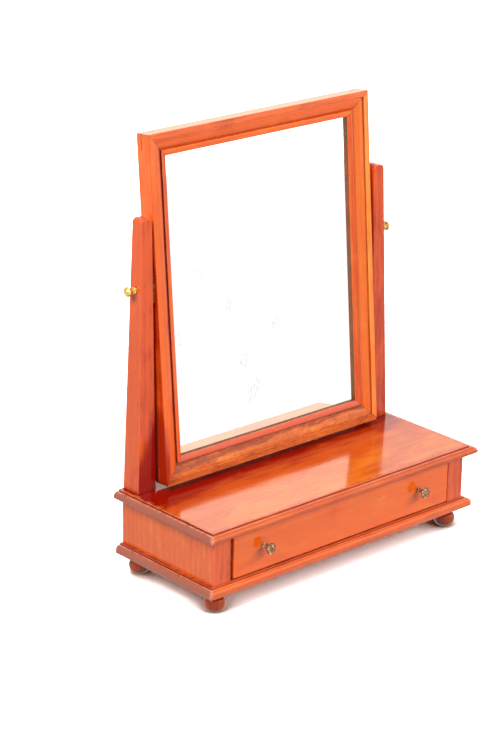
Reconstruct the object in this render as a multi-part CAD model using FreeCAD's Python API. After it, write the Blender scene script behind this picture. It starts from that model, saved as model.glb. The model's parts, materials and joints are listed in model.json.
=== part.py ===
import FreeCAD, Part
import math
import os

"""Box toilet mirror: a swinging mirror between two tapered uprights, on a low case with one drawer.

Millimetres. X runs to the right, Y to the back, Z up. The origin is on the surface the feet stand on,
in the middle of the whole object. The mirror is drawn at rest, leaning back a little.
"""

Vector = FreeCAD.Vector

# ---------------------------------------------------------------- driving sizes
# Case: the low box that holds the drawer
case_width = 450.0
case_depth = 181.0
case_height = 65.5
side_thickness = 12.0
back_thickness = 8.0
stile_width = 28.0
stile_thickness = 14.0
case_corner_round = 2.5
glue_block_count = 2
glue_block_leg = 16.0
glue_block_length = 32.0

# Boards above and below the case, moulded along the front and both ends
plinth_thickness = 13.5
plinth_side_reach = 11.5
plinth_front_reach = 8.5
plinth_nose = 5.5
plinth_quirk = 1.5
top_thickness = 10.8
top_side_reach = 15.0
top_front_reach = 13.5
top_nose = 6.5
top_quirk = 2.0
board_step = 1.9
board_under_round = 1.8

# Turned feet
foot_height = 27.5
foot_diameter = 28.5
foot_inset_side = 15.5
foot_inset_front = 15.2
foot_inset_back = 16.0
foot_tread_diameter = 13.0
foot_neck_diameter = 15.0
foot_collar_diameter = 21.0
foot_collar_height = 3.2
foot_cove_height = 5.0
foot_cove_depth = 0.8
foot_belly_height = 10.0
spigot_diameter = 10.0
spigot_length = 9.0

# Drawer
drawer_gap_left = 5.3
drawer_gap_right = 1.2
drawer_gap_below = 1.6
drawer_gap_above = 1.0
drawer_front_thickness = 16.0
drawer_side_thickness = 7.0
drawer_side_height = 54.0
drawer_back_thickness = 6.0
drawer_back_drop = 3.0
drawer_bottom_thickness = 4.0
drawer_bottom_rise = 5.0
side_groove_depth = 3.5
front_groove_depth = 5.0
running_gap = 0.3
tail_count = 3
tail_share = 0.63
tail_flare = 1.6
tail_lap = 5.0
guide_height = 14.0
stop_width = 22.0
stop_depth = 12.7
stop_height = 12.0
stop_from_side = 105.0

# Drawer knobs
knob_from_side = 85.0
knob_projection = 16.5
knob_head_diameter = 15.6
knob_rim_height = 1.2
knob_dome_height = 3.0
knob_base_diameter = 9.6
knob_base_height = 1.4
knob_base_cove = 0.7
knob_bead_rise = 2.2
knob_bead_width = 2.6
knob_neck_diameter = 5.4
knob_bead_diameter = 7.4
knob_throat_cove = 1.4
knob_rim_bevel = 0.4
knob_stem_diameter = 4.0
knob_stem_spare = 0.8
nut_sides = 6
nut_diameter = 9.0
nut_thickness = 2.6

# Tapered uprights
upright_inset = 0.5
upright_base_width = 29.5
upright_base_depth = 31.3
upright_top_width = 16.8
upright_top_depth = 18.0
upright_back_inset = 0.6
upright_back_taper = 3.9
upright_above_pivot = 92.0
upright_crown_round = 6.0
upright_arris_round = 1.0
tenon_width = 12.0
tenon_depth = 16.0
tenon_stub = 8.0
block_height = 22.0
block_depth = 24.0

# Mirror frame: one moulding, mitred round four sides
frame_gap = 5.0
frame_height = 460.0
frame_thickness = 24.0
frame_lean = 4.9
member_width = 32.0
fillet_width = 8.0
fillet_drop = 3.0
band_width = 14.5
band_fall = 3.0
band_crown = 0.9
quirk_width = 1.5
quirk_depth = 2.0
slip_fall = 2.4
slip_crown = 0.5
frame_arris = 0.8
rebate_width = 6.0
rebate_front = 13.0
key_leg = 21.0
key_thickness = 2.0
key_front = 14.0

# Glass and what holds it in
glass_thickness = 3.0
glass_edge_gap = 0.7
backboard_thickness = 5.0
sprig_diameter = 1.4
sprig_length = 12.0
sprigs_upright = 3
sprigs_across = 2

# Pivots
pivot_above_frame_bottom = 265.5
swing_clearance = 6.0
plate_width = 13.0
plate_length = 46.0
plate_thickness = 2.0
boss_diameter = 12.0
boss_height = 3.2
bush_diameter = 9.0
bush_length = 9.0
washer_thickness = 1.5
washer_diameter = 14.0
pivot_shank_diameter = 6.0
pivot_thread_diameter = 5.0
pivot_thread_length = 11.5
pivot_thread_bevel = 0.8
thread_run_out = 2.5
pivot_collar_diameter = 10.4
pivot_collar_thickness = 2.4
pivot_collar_bevel = 0.5
pivot_collar_cove = 0.65
pivot_neck_diameter = 6.4
pivot_neck_rise = 4.6
pivot_neck_cove = 1.0
pivot_head_diameter = 13.6
pivot_head_height = 5.4
pivot_rim_height = 3.0
pivot_rim_bulge = 0.8
pivot_projection = 17.5
seat_depth = 0.6
seat_clearance = 0.4

# Wood screws, by length, and the fits between small parts
plinth_screw_length = 32.0
side_screw_spacing = 70.0
back_screw_spacing = 225.0
upright_screw_length = 40.0
plate_screw_length = 14.0
screw_radius = 2.0
screw_head_radius = 3.9
small_screw_radius = 1.4
small_screw_head_radius = 2.7
pin_count = 3
pin_radius = 0.8
pin_length = 14.0
fit_clearance = 0.05

# How far from its expected place an edge may lie and still be picked for rounding
pick_margin = 1.0

# ---------------------------------------------------------------- places worked out from the sizes
plinth_bottom_z = foot_height
case_bottom_z = plinth_bottom_z + plinth_thickness
case_top_z = case_bottom_z + case_height
board_top_z = case_top_z + top_thickness

half_case = case_width / 2
inner_half = half_case - side_thickness
opening_half = half_case - stile_width

frame_width = case_width - 2 * (upright_inset + upright_base_width + frame_gap)
half_frame = frame_width / 2
upright_inner_x = half_frame + frame_gap
upright_outer_x = upright_inner_x + upright_base_width

swing_radius = math.hypot(pivot_above_frame_bottom, frame_thickness / 2)
pivot_z = board_top_z + swing_clearance + swing_radius
upright_top_z = pivot_z + upright_above_pivot
pivot_share = (pivot_z - board_top_z) / (upright_top_z - board_top_z)

# Front and back faces of an upright, measured back from the middle of the case
upright_back = case_depth / 2 - upright_back_inset
upright_front = upright_back - upright_base_depth
upright_top_back = upright_back - upright_back_taper
upright_top_front = upright_top_back - upright_top_depth


def along_upright(base, top):
    """A size of the upright at the height of the pivot, between its values at base and top."""
    return base + (top - base) * pivot_share


pivot_back = (along_upright(upright_back, upright_top_back)
              + along_upright(upright_front, upright_top_front)) / 2

lean = math.radians(frame_lean)
pivot_below_frame_top = frame_height - pivot_above_frame_bottom
front_reach = case_depth / 2 + knob_projection
rear_reach = (pivot_back + pivot_below_frame_top * math.sin(lean)
              + frame_thickness / 2 * math.cos(lean))
case_mid_y = (front_reach - rear_reach) / 2
case_front_y = case_mid_y - case_depth / 2
case_back_y = case_mid_y + case_depth / 2
pivot_y = case_mid_y + pivot_back
back_board_y = case_back_y - back_thickness

drawer_left_x = -opening_half + drawer_gap_left
drawer_right_x = opening_half - drawer_gap_right
drawer_inner_left_x = drawer_left_x + drawer_side_thickness
drawer_inner_right_x = drawer_right_x - drawer_side_thickness
drawer_front_back_y = case_front_y + drawer_front_thickness
drawer_rear_y = back_board_y - stop_depth - running_gap
drawer_back_front_y = drawer_rear_y - drawer_back_thickness
drawer_side_z = case_bottom_z + running_gap
drawer_side_top_z = drawer_side_z + drawer_side_height
drawer_floor_z = drawer_side_z + drawer_bottom_rise
drawer_floor_top_z = drawer_floor_z + drawer_bottom_thickness
drawer_front_z = case_bottom_z + drawer_gap_below
drawer_front_top_z = case_top_z - drawer_gap_above
knob_z = (drawer_front_z + drawer_front_top_z) / 2

tenon_x = (upright_inner_x + inner_half) / 2
tenon_y = case_mid_y + (upright_front + upright_back) / 2
pivot_outer_x = along_upright(upright_outer_x, upright_inner_x + upright_top_width)
seat_x = pivot_outer_x - seat_depth

glass_half_width = half_frame - member_width + rebate_width - glass_edge_gap
glass_bottom = member_width - rebate_width + glass_edge_gap
backboard_front = rebate_front + glass_thickness
sprig_depth = backboard_front + backboard_thickness + sprig_diameter / 2


# ---------------------------------------------------------------- helpers
def box(x0, x1, y0, y1, z0, z1):
    """A block between two corners."""
    return Part.makeBox(x1 - x0, y1 - y0, z1 - z0, Vector(x0, y0, z0))


def outline(place, start, *moves):
    """A closed face. Each move is an end point, or a pair (point passed, end point) for an arc.

    A straight edge closes it where the last move ends short of the start.
    """
    edges = []
    here = place(*start)
    closed = isinstance(moves[-1][0], tuple) and moves[-1][1] == start
    for move in moves if closed else moves + (start,):
        if isinstance(move[0], tuple):
            through = place(*move[0])
            end = place(*move[1])
            edges.append(Part.Arc(here, through, end).toShape())
        else:
            end = place(*move)
            edges.append(Part.LineSegment(here, end).toShape())
        here = end
    return Part.Face(Part.Wire(edges))


def on_arc(centre, radius, angle):
    """A point of an arc, by its angle in degrees."""
    turn = math.radians(angle)
    return (centre[0] + radius * math.cos(turn), centre[1] + radius * math.sin(turn))


def bowed(start, end, bow):
    """An arc to an end point, bowed out by a distance to the left of the straight way there."""
    run = end[0] - start[0]
    rise = end[1] - start[1]
    share = bow / math.hypot(run, rise)
    return (((start[0] + end[0]) / 2 - rise * share, (start[1] + end[1]) / 2 + run * share), end)


def bulge(inner, outer, toward_outer=True):
    """An arc between two (radius, height) points that stands upright where it is widest."""
    reach = outer[0] - inner[0]
    rise = inner[1] - outer[1]
    radius = (reach * reach + rise * rise) / (2 * reach)
    centre = (outer[0] - radius, outer[1])
    half_angle = math.degrees(math.atan2(rise, radius - reach)) / 2
    return (on_arc(centre, radius, half_angle), outer if toward_outer else inner)


def dome(rim_radius, rim_distance, top_distance):
    """An arc from a rim to the turning axis, round a centre on that axis."""
    rise = top_distance - rim_distance
    radius = (rim_radius * rim_radius + rise * rise) / (2 * rise)
    half_angle = math.degrees(math.asin(rim_radius / radius)) / 2
    return (on_arc((0, top_distance - radius), radius, 90 - half_angle), (0, top_distance))


def turned(origin, axis, start, *moves):
    """A solid turned on a lathe: the outline is given as (radius, distance along the axis)."""
    across = Vector(0, 0, 1) if abs(axis.z) < 0.5 else Vector(1, 0, 0)

    def place(radius, distance):
        return origin + across * radius + axis * distance

    return outline(place, start, *moves).revolve(origin, axis, 360)


def fused(first, *others):
    """One solid from pieces that touch or overlap, with no seams left on its flat faces."""
    return first.multiFuse(list(others)).removeSplitter()


def with_holes(solid, holes):
    """The solid with every hole cut out."""
    return solid.cut(Part.makeCompound(holes))


def mirrored(shape):
    """The same piece for the other end of the object."""
    return shape.mirror(Vector(0, 0, 0), Vector(1, 0, 0))


def long_edges(solid, low, high, length):
    """Edges at least this long whose middle lies between two corners."""
    found = []
    for edge in solid.Edges:
        middle = edge.CenterOfMass
        inside = all(low[i] <= middle[i] <= high[i] for i in range(3))
        if inside and edge.Length >= length:
            found.append(edge)
    return found


def wood_screw(head, axis, length, radius, head_radius, clearance=0.0):
    """A countersunk screw from the flat of its head to its tip; with a clearance, the hole for one."""
    shank = radius + clearance
    rim = head_radius + clearance
    sink = rim - shank
    point = 2 * radius
    return turned(head, axis, (0, 0), (rim, 0), (shank, sink), (shank, length - point),
                  (0, length + clearance))


def moulded_board(bottom_z, thickness, side_reach, front_reach, nose, quirk):
    """A board with a step, a small ledge and a quarter-round nose along the front and both ends.

    It is one cross-section run from front to back, kept where it meets another run from end to end,
    so the mouldings meet in a mitre at both front corners. The back edge is square.
    """
    ledge_z = bottom_z + thickness - board_step
    top_z = bottom_z + thickness
    depth = case_depth + front_reach

    def edge(reach):
        """Points of one moulded edge, from the underside to the flat top, outwards from the case."""
        low = (reach - board_under_round, bottom_z + board_under_round)
        high = (reach - nose, ledge_z - nose)
        return [(low[0], bottom_z), (on_arc(low, board_under_round, -45), (reach, low[1])),
                (reach, high[1]), (on_arc(high, nose, 45), (high[0], ledge_z)),
                (high[0] - quirk, ledge_z), (high[0] - quirk, top_z)]

    def outwards(points, middle, side):
        """The edge's points carried out from a middle line, towards one side."""
        moved = []
        for point in points:
            if isinstance(point[0], tuple):
                moved.append(tuple((middle + side * p[0], p[1]) for p in point))
            else:
                moved.append((middle + side * point[0], point[1]))
        return moved

    def reversed_path(points):
        """The same run of points drawn the other way round, arcs included."""
        ends = [p[1] if isinstance(p[0], tuple) else p for p in points]
        moves = [ends[-1]]
        for index in range(len(points) - 1, 0, -1):
            target = ends[index - 1]
            if isinstance(points[index][0], tuple):
                moves.append((points[index][0], target))
            else:
                moves.append(target)
        return moves

    right = outwards(edge(side_reach), half_case, 1)
    left = reversed_path(outwards(edge(side_reach), -half_case, -1))
    across = right + left
    end_section = outline(lambda x, z: Vector(x, case_back_y, z), across[0], *across[1:])
    run_back = end_section.extrude(Vector(0, -depth, 0))

    front = reversed_path(outwards(edge(front_reach), case_front_y, -1))
    side_section = outline(lambda y, z: Vector(-half_case - side_reach, y, z),
                           (case_back_y, bottom_z), (case_back_y, top_z), *front)
    run_across = side_section.extrude(Vector(case_width + 2 * side_reach, 0, 0))
    return run_back.common(run_across)


# ---------------------------------------------------------------- screws, and the holes they need
def plinth_screw_set(clearance=0.0):
    """Screws up through the plinth into the side panels and the back board."""
    places = []
    side_mid = half_case - side_thickness / 2
    for side in (-1, 1):
        places.append((side * side_mid, case_mid_y - side_screw_spacing / 2))
        places.append((side * side_mid, case_mid_y + side_screw_spacing / 2))
        places.append((side * back_screw_spacing / 2, case_back_y - back_thickness / 2))
    return [wood_screw(Vector(x, y, plinth_bottom_z), Vector(0, 0, 1), plinth_screw_length,
                       screw_radius, screw_head_radius, clearance) for x, y in places]


def upright_screw_set(clearance=0.0):
    """Screws up through the corner blocks and along the tenons of the uprights."""
    head_z = case_top_z - block_height
    return [wood_screw(Vector(side * tenon_x, tenon_y, head_z), Vector(0, 0, 1), upright_screw_length,
                       screw_radius, screw_head_radius, clearance) for side in (-1, 1)]


# ---------------------------------------------------------------- case
def plinth_board():
    """The bottom board, bored for the spigots of the feet and for its screws."""
    board = moulded_board(plinth_bottom_z, plinth_thickness, plinth_side_reach, plinth_front_reach,
                          plinth_nose, plinth_quirk)
    holes = plinth_screw_set(fit_clearance)
    for x, y in foot_places().values():
        holes.append(Part.makeCylinder(spigot_diameter / 2 + fit_clearance, spigot_length + fit_clearance,
                                       Vector(x, y, plinth_bottom_z)))
    return with_holes(board, holes)


def top_board():
    """The top board, mortised for the tenons of the uprights."""
    board = moulded_board(case_top_z, top_thickness, top_side_reach, top_front_reach,
                          top_nose, top_quirk)
    return with_holes(board, [upright_tenon(side) for side in (-1, 1)])


def side_panel():
    """The left side panel, behind the front stile."""
    panel = box(-half_case, -inner_half, case_front_y + stile_thickness, case_back_y,
                case_bottom_z, case_top_z)
    return with_holes(panel, plinth_screw_set(fit_clearance))


def front_stile():
    """The left front stile, with its outer corner rounded."""
    stile = box(-half_case, -opening_half, case_front_y, case_front_y + stile_thickness,
                case_bottom_z, case_top_z)
    corner = long_edges(stile, (-half_case - pick_margin, case_front_y - pick_margin, case_bottom_z),
                        (-half_case + pick_margin, case_front_y + pick_margin, case_top_z),
                        case_height / 2)
    return stile.makeFillet(case_corner_round, corner)


def case_back_board():
    """The back board, between the side panels."""
    board = box(-inner_half, inner_half, back_board_y, case_back_y, case_bottom_z, case_top_z)
    return with_holes(board, plinth_screw_set(fit_clearance))


def drawer_guide():
    """The left guide strip, which keeps the drawer straight behind the stile."""
    return box(-inner_half, -opening_half, case_front_y + stile_thickness, back_board_y,
               case_bottom_z, case_bottom_z + guide_height)


def drawer_stops():
    """Two blocks at the back of the plinth that the closed drawer stops against."""
    blocks = []
    for side in (-1, 1):
        middle = side * (half_case - stop_from_side)
        blocks.append(box(middle - stop_width / 2, middle + stop_width / 2,
                          drawer_rear_y + running_gap, back_board_y,
                          case_bottom_z, case_bottom_z + stop_height))
    return Part.makeCompound(blocks)


def upright_block():
    """The left corner block under the top board, which takes the end of the upright's tenon."""
    block = box(-inner_half, -opening_half, back_board_y - block_depth, back_board_y,
                case_top_z - block_height, case_top_z)
    return with_holes(block, [upright_tenon(-1)] + upright_screw_set(fit_clearance))


def top_glue_blocks():
    """Three-cornered blocks glued in the angle between the top board and each side panel.

    They are spread evenly between the stile and the corner block.
    """
    first_y = case_front_y + stile_thickness
    space = back_board_y - block_depth - first_y
    spacing = (space - glue_block_count * glue_block_length) / (glue_block_count + 1)
    blocks = []
    for index in range(glue_block_count):
        start_y = first_y + spacing + index * (glue_block_length + spacing)
        face = outline(lambda x, z: Vector(x, start_y, z), (-inner_half, case_top_z),
                       (-inner_half, case_top_z - glue_block_leg),
                       (-inner_half + glue_block_leg, case_top_z))
        block = face.extrude(Vector(0, glue_block_length, 0))
        blocks.append(block)
        blocks.append(mirrored(block))
    return Part.makeCompound(blocks)


def foot_places():
    """The four foot names, with the middle of each foot."""
    side_x = half_case - foot_inset_side
    front_y = case_front_y + foot_inset_front
    rear_y = case_back_y - foot_inset_back
    return {"front_left_foot": (-side_x, front_y), "front_right_foot": (side_x, front_y),
            "back_left_foot": (-side_x, rear_y), "back_right_foot": (side_x, rear_y)}


def turned_foot(x, y):
    """A flattened bun with a cove and a collar above it, and a spigot that is glued into the plinth."""
    bun_height = foot_height - foot_collar_height - foot_cove_height
    bun = foot_diameter / 2
    tread = foot_tread_diameter / 2
    neck = foot_neck_diameter / 2
    collar = foot_collar_diameter / 2
    widest = (bun, foot_belly_height)
    cove_z = bun_height + foot_cove_height
    spigot = spigot_diameter / 2
    return turned(Vector(x, y, 0), Vector(0, 0, 1), (0, 0), (tread, 0), bulge((tread, 0), widest),
                  bulge((neck, bun_height), widest, False),
                  bowed((neck, bun_height), (neck, cove_z), foot_cove_depth),
                  (collar, cove_z), (collar, foot_height), (spigot, foot_height),
                  (spigot, foot_height + spigot_length), (0, foot_height + spigot_length))


# ---------------------------------------------------------------- uprights
def upright_tenon(side):
    """The square tenon below an upright, through the top board and into the corner block."""
    return box(side * tenon_x - tenon_width / 2, side * tenon_x + tenon_width / 2,
               tenon_y - tenon_depth / 2, tenon_y + tenon_depth / 2,
               case_top_z - tenon_stub, board_top_z)


def upright():
    """The right upright: tapered on three faces, with a rounded crown and eased arrises.

    The pivot bore runs through it from side to side, with a shallow seat for the screw's collar.
    """
    def ring(outer_x, front, back, z):
        corners = [Vector(upright_inner_x, case_mid_y + front, z), Vector(outer_x, case_mid_y + front, z),
                   Vector(outer_x, case_mid_y + back, z), Vector(upright_inner_x, case_mid_y + back, z)]
        return Part.makePolygon(corners + corners[:1])

    base = ring(upright_outer_x, upright_front, upright_back, board_top_z)
    crown = ring(upright_inner_x + upright_top_width, upright_top_front, upright_top_back, upright_top_z)
    post = Part.makeLoft([base, crown], True, True)
    crown_mid = case_mid_y + (upright_top_front + upright_top_back) / 2
    crowns = long_edges(post, (0, crown_mid - pick_margin, upright_top_z - pick_margin),
                        (case_width, crown_mid + pick_margin, upright_top_z + pick_margin),
                        upright_top_depth / 2)
    post = post.makeFillet(upright_crown_round, crowns)
    arrises = [edge for edge in post.Edges if edge.CenterOfMass.z > board_top_z + pick_margin
               and abs(edge.CenterOfMass.y - crown_mid) > upright_top_depth / 4]
    post = post.makeFillet(upright_arris_round, arrises)
    post = fused(post, upright_tenon(1))
    bore_radius = pivot_shank_diameter / 2 + fit_clearance
    bore = Part.makeCylinder(bore_radius, 2 * upright_base_width,
                             Vector(upright_inner_x - upright_base_width / 2, pivot_y, pivot_z),
                             Vector(1, 0, 0))
    seat = Part.makeCylinder(pivot_collar_diameter / 2 + seat_clearance, upright_base_width,
                             Vector(seat_x, pivot_y, pivot_z), Vector(1, 0, 0))
    return with_holes(post, [bore, seat] + upright_screw_set(fit_clearance))


# ---------------------------------------------------------------- drawer
def dovetail_prism(x0, x1, root_y, tip_y, low_z, high_z):
    """Tails between two heights, wider at the tip than at the root, cut across a side's thickness."""
    pitch = (high_z - low_z) / tail_count
    tails = []
    for index in range(tail_count):
        middle = low_z + pitch * (index + 0.5)
        root = tail_share * pitch / 2
        tip = root + tail_flare / 2
        face = outline(lambda y, z: Vector(x0, y, z), (root_y, middle - root), (tip_y, middle - tip),
                       (tip_y, middle + tip), (root_y, middle + root))
        tails.append(face.extrude(Vector(x1 - x0, 0, 0)))
    return tails


def drawer_tails(x0, x1):
    """The tails of one side: lapped ones into the front, through ones into the back."""
    lapped = dovetail_prism(x0, x1, drawer_front_back_y, case_front_y + tail_lap,
                            drawer_side_z + drawer_gap_below, drawer_side_top_z)
    through = dovetail_prism(x0, x1, drawer_back_front_y, drawer_rear_y,
                             drawer_floor_top_z, drawer_side_top_z - drawer_back_drop)
    return lapped + through


def all_tails():
    """The tails of both sides."""
    return (drawer_tails(drawer_left_x, drawer_inner_left_x)
            + drawer_tails(drawer_inner_right_x, drawer_right_x))


def drawer_floor_panel():
    """The bottom board, let into grooves in the front and sides and run out under the back."""
    return box(drawer_inner_left_x - side_groove_depth, drawer_inner_right_x + side_groove_depth,
               drawer_front_back_y - front_groove_depth, drawer_rear_y,
               drawer_floor_z, drawer_floor_top_z)


def drawer_pin_set(clearance=0.0):
    """Three pins up through the bottom board into the drawer back."""
    pins = []
    span = drawer_inner_right_x - drawer_inner_left_x
    for index in range(pin_count):
        x = drawer_inner_left_x + span * (index + 1) / (pin_count + 1)
        pins.append(Part.makeCylinder(pin_radius + clearance, pin_length + clearance,
                                      Vector(x, drawer_rear_y - drawer_back_thickness / 2, drawer_floor_z)))
    return pins


def knob_places():
    """The middle of each knob across the drawer front."""
    place_x = half_case - knob_from_side
    return {"left_drawer_knob": -place_x, "right_drawer_knob": place_x}


def stem_holes(clearance):
    """Round the knobs' stems, right through the drawer front."""
    return [Part.makeCylinder(knob_stem_diameter / 2 + clearance, drawer_front_thickness,
                              Vector(x, case_front_y, knob_z), Vector(0, 1, 0))
            for x in knob_places().values()]


def drawer_front():
    """The drawer front, with sockets for the lapped tails, the groove and the stem holes."""
    board = box(drawer_left_x, drawer_right_x, case_front_y, drawer_front_back_y,
                drawer_front_z, drawer_front_top_z)
    return with_holes(board, all_tails() + [drawer_floor_panel()] + stem_holes(fit_clearance))


def drawer_side(x0, x1):
    """One drawer side with its tails, grooved along its inner face for the bottom board."""
    board = box(x0, x1, drawer_front_back_y, drawer_back_front_y, drawer_side_z, drawer_side_top_z)
    tail_end = box(x0, x1, drawer_back_front_y, drawer_rear_y, drawer_side_z, drawer_floor_top_z)
    return fused(board, tail_end, *drawer_tails(x0, x1)).cut(drawer_floor_panel())


def drawer_back():
    """The drawer back, above the bottom board, with sockets for the through tails."""
    board = box(drawer_left_x, drawer_right_x, drawer_back_front_y, drawer_rear_y,
                drawer_floor_top_z, drawer_side_top_z - drawer_back_drop)
    return with_holes(board, all_tails() + drawer_pin_set(fit_clearance))


def drawer_bottom():
    """The bottom board with its pin holes."""
    return with_holes(drawer_floor_panel(), drawer_pin_set(fit_clearance))


def drawer_knob(x):
    """A brass mushroom knob: base flange, beaded neck, thin-rimmed domed head, and a stem behind."""
    head = knob_head_diameter / 2
    base = knob_base_diameter / 2
    neck = knob_neck_diameter / 2
    bead = knob_bead_diameter / 2
    stem = knob_stem_diameter / 2
    rim_end = knob_projection - knob_dome_height
    rim_start = rim_end - knob_rim_height
    bead_start = knob_base_height + knob_bead_rise
    bead_end = bead_start + knob_bead_width
    throat_end = (head - knob_rim_bevel, rim_start)
    stem_end = -drawer_front_thickness - nut_thickness - knob_stem_spare
    return turned(Vector(x, case_front_y, knob_z), Vector(0, -1, 0), (0, stem_end), (stem, stem_end),
                  (stem, 0), (base, 0), (base, knob_base_height),
                  bowed((base, knob_base_height), (neck, bead_start), knob_base_cove),
                  bowed((neck, bead_start), (neck, bead_end), neck - bead),
                  bowed((neck, bead_end), throat_end, knob_throat_cove),
                  (head, rim_start + knob_rim_bevel), (head, rim_end),
                  dome(head, rim_end, knob_projection))


def drawer_knob_nuts():
    """A nut on each knob's stem, against the back of the drawer front."""
    nuts = []
    for x in knob_places().values():
        corners = [on_arc((x, knob_z), nut_diameter / 2, 360 * step / nut_sides)
                   for step in range(nut_sides)]
        face = outline(lambda a, b: Vector(a, drawer_front_back_y, b), corners[0], *corners[1:])
        nut = face.extrude(Vector(0, nut_thickness, 0))
        hole = Part.makeCylinder(knob_stem_diameter / 2 + fit_clearance, nut_thickness,
                                 Vector(x, drawer_front_back_y, knob_z), Vector(0, 1, 0))
        nuts.append(nut.cut(hole))
    return Part.makeCompound(nuts)


# ---------------------------------------------------------------- mirror, drawn upright
# Its own frame: X as above, Y back from the front face, Z up from the bottom edge.
def hang(shape):
    """Carry a piece of the upright mirror to its pivots, and lean it back."""
    placed = shape.copy()
    placed.translate(Vector(0, pivot_y - frame_thickness / 2, pivot_z - pivot_above_frame_bottom))
    placed.rotate(Vector(0, pivot_y, pivot_z), Vector(1, 0, 0), -frame_lean)
    return placed


def moulding_section(x):
    """The frame's moulding: flat outer fillet, hollow-edged band, quirk, inner slip and rebate.

    Distances run in from the outer edge and back from the front face.
    """
    band_start = fillet_width
    band_end = fillet_width + band_width
    slip_start = band_end + quirk_width
    band_low = fillet_drop + band_fall
    slip_low = band_low + slip_fall
    inner = member_width - rebate_width
    arris_mid = on_arc((frame_arris, frame_arris), frame_arris, 225)
    return outline(lambda inwards, back: Vector(x, back, inwards),
                   (0, frame_thickness), (0, frame_arris), (arris_mid, (frame_arris, 0)),
                   (fillet_width - frame_arris, 0),
                   (on_arc((fillet_width - frame_arris, frame_arris), frame_arris, 315),
                    (fillet_width, frame_arris)),
                   (band_start, fillet_drop),
                   bowed((band_start, fillet_drop), (band_end, band_low), -band_crown),
                   (band_end, band_low + quirk_depth), (slip_start, band_low + quirk_depth),
                   (slip_start, band_low),
                   bowed((slip_start, band_low), (member_width, slip_low), -slip_crown),
                   (member_width, rebate_front), (inner, rebate_front), (inner, frame_thickness))


def frame_member(length):
    """One length of moulding along X with its outer edge at Z = 0, mitred at both ends."""
    half = length / 2
    run = moulding_section(-half).extrude(Vector(length, 0, 0))
    mitres = outline(lambda x, z: Vector(x, 0, z), (-half, 0), (half, 0),
                     (half - member_width, member_width), (-half + member_width, member_width))
    return run.common(mitres.extrude(Vector(0, frame_thickness, 0)))


def corner_keys(clearance=0.0):
    """Three-cornered feather keys let into the mitres from the outside, one at each corner."""
    leg = key_leg + clearance
    keys = []
    for side in (-1, 1):
        for corner_z, up in ((0, 1), (frame_height, -1)):
            corner_x = side * half_frame
            face = outline(lambda x, z: Vector(x, key_front - clearance, z), (corner_x, corner_z),
                           (corner_x - side * leg, corner_z), (corner_x, corner_z + up * leg))
            keys.append(face.extrude(Vector(0, key_thickness + 2 * clearance, 0)))
    return keys


def sprig_set(clearance=0.0):
    """Headless sprigs driven into the rebate's wall, lying flat on the back of the backboard."""
    radius = sprig_diameter / 2 + clearance
    length = sprig_length + 2 * clearance
    wall = member_width - rebate_width
    half = sprig_length / 2 + clearance
    sprigs = []
    for side in (-1, 1):
        for index in range(sprigs_upright):
            z = frame_height * (index + 0.5) / sprigs_upright
            start = side * (half_frame - wall) - half
            sprigs.append(Part.makeCylinder(radius, length, Vector(start, sprig_depth, z), Vector(1, 0, 0)))
        for index in range(sprigs_across):
            x = frame_width * ((index + 0.5) / sprigs_across - 0.5)
            middle = wall if side < 0 else frame_height - wall
            sprigs.append(Part.makeCylinder(radius, length, Vector(x, sprig_depth, middle - half)))
    return sprigs


def plate_blank(clearance=0.0):
    """The round-ended brass plate on the right edge of the frame, without its holes or boss."""
    half_width = plate_width / 2 + clearance
    straight = (plate_length - plate_width) / 2
    middle_y = frame_thickness / 2
    top = pivot_above_frame_bottom + straight
    low = pivot_above_frame_bottom - straight
    face = outline(lambda y, z: Vector(half_frame - plate_thickness, y, z),
                   (middle_y - half_width, low), (middle_y - half_width, top),
                   ((middle_y, top + half_width), (middle_y + half_width, top)),
                   (middle_y + half_width, low), ((middle_y, low - half_width),
                                                  (middle_y - half_width, low)))
    return face.extrude(Vector(plate_thickness, 0, 0))


def plate_screw_set(clearance=0.0):
    """Two countersunk screws through the right pivot plate into the edge of the frame."""
    spread = (plate_length - plate_width) / 2
    return [wood_screw(Vector(half_frame, frame_thickness / 2, pivot_above_frame_bottom + side * spread),
                       Vector(-1, 0, 0), plate_screw_length, small_screw_radius,
                       small_screw_head_radius, clearance) for side in (-1, 1)]


def pivot_axis_cylinder(diameter, x0, x1):
    """A cylinder on the pivot's axis, in the mirror's own frame."""
    return Part.makeCylinder(diameter / 2, x1 - x0, Vector(x0, frame_thickness / 2, pivot_above_frame_bottom),
                             Vector(1, 0, 0))


def thread_hole(x0, x1):
    """The hole that the pivot screw's threaded end turns in."""
    return pivot_axis_cylinder(pivot_thread_diameter + 2 * fit_clearance, x0, x1)


def pivot_plate():
    """The right pivot plate: a boss outside, a threaded bush inside, and two screw holes."""
    boss = pivot_axis_cylinder(boss_diameter, half_frame - plate_thickness, half_frame + boss_height)
    bush = pivot_axis_cylinder(bush_diameter, half_frame - plate_thickness - bush_length, half_frame)
    hole = thread_hole(half_frame - member_width, half_frame + boss_height)
    return with_holes(fused(plate_blank(), boss, bush), [hole] + plate_screw_set(fit_clearance))


def pivot_washer():
    """The right washer, between the plate's boss and the upright."""
    start = half_frame + boss_height
    ring = pivot_axis_cylinder(washer_diameter, start, start + washer_thickness)
    return ring.cut(pivot_axis_cylinder(pivot_shank_diameter + 2 * fit_clearance, start,
                                        start + washer_thickness))


def plate_pockets():
    """What is cut out of the frame's right edge for the plate, its bush, its screws and the thread's end."""
    tip_x = half_frame - plate_thickness - bush_length - thread_run_out
    bush = pivot_axis_cylinder(bush_diameter + 2 * fit_clearance,
                               half_frame - plate_thickness - bush_length, half_frame)
    return [plate_blank(fit_clearance), bush, thread_hole(tip_x, half_frame)] + plate_screw_set(fit_clearance)


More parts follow.
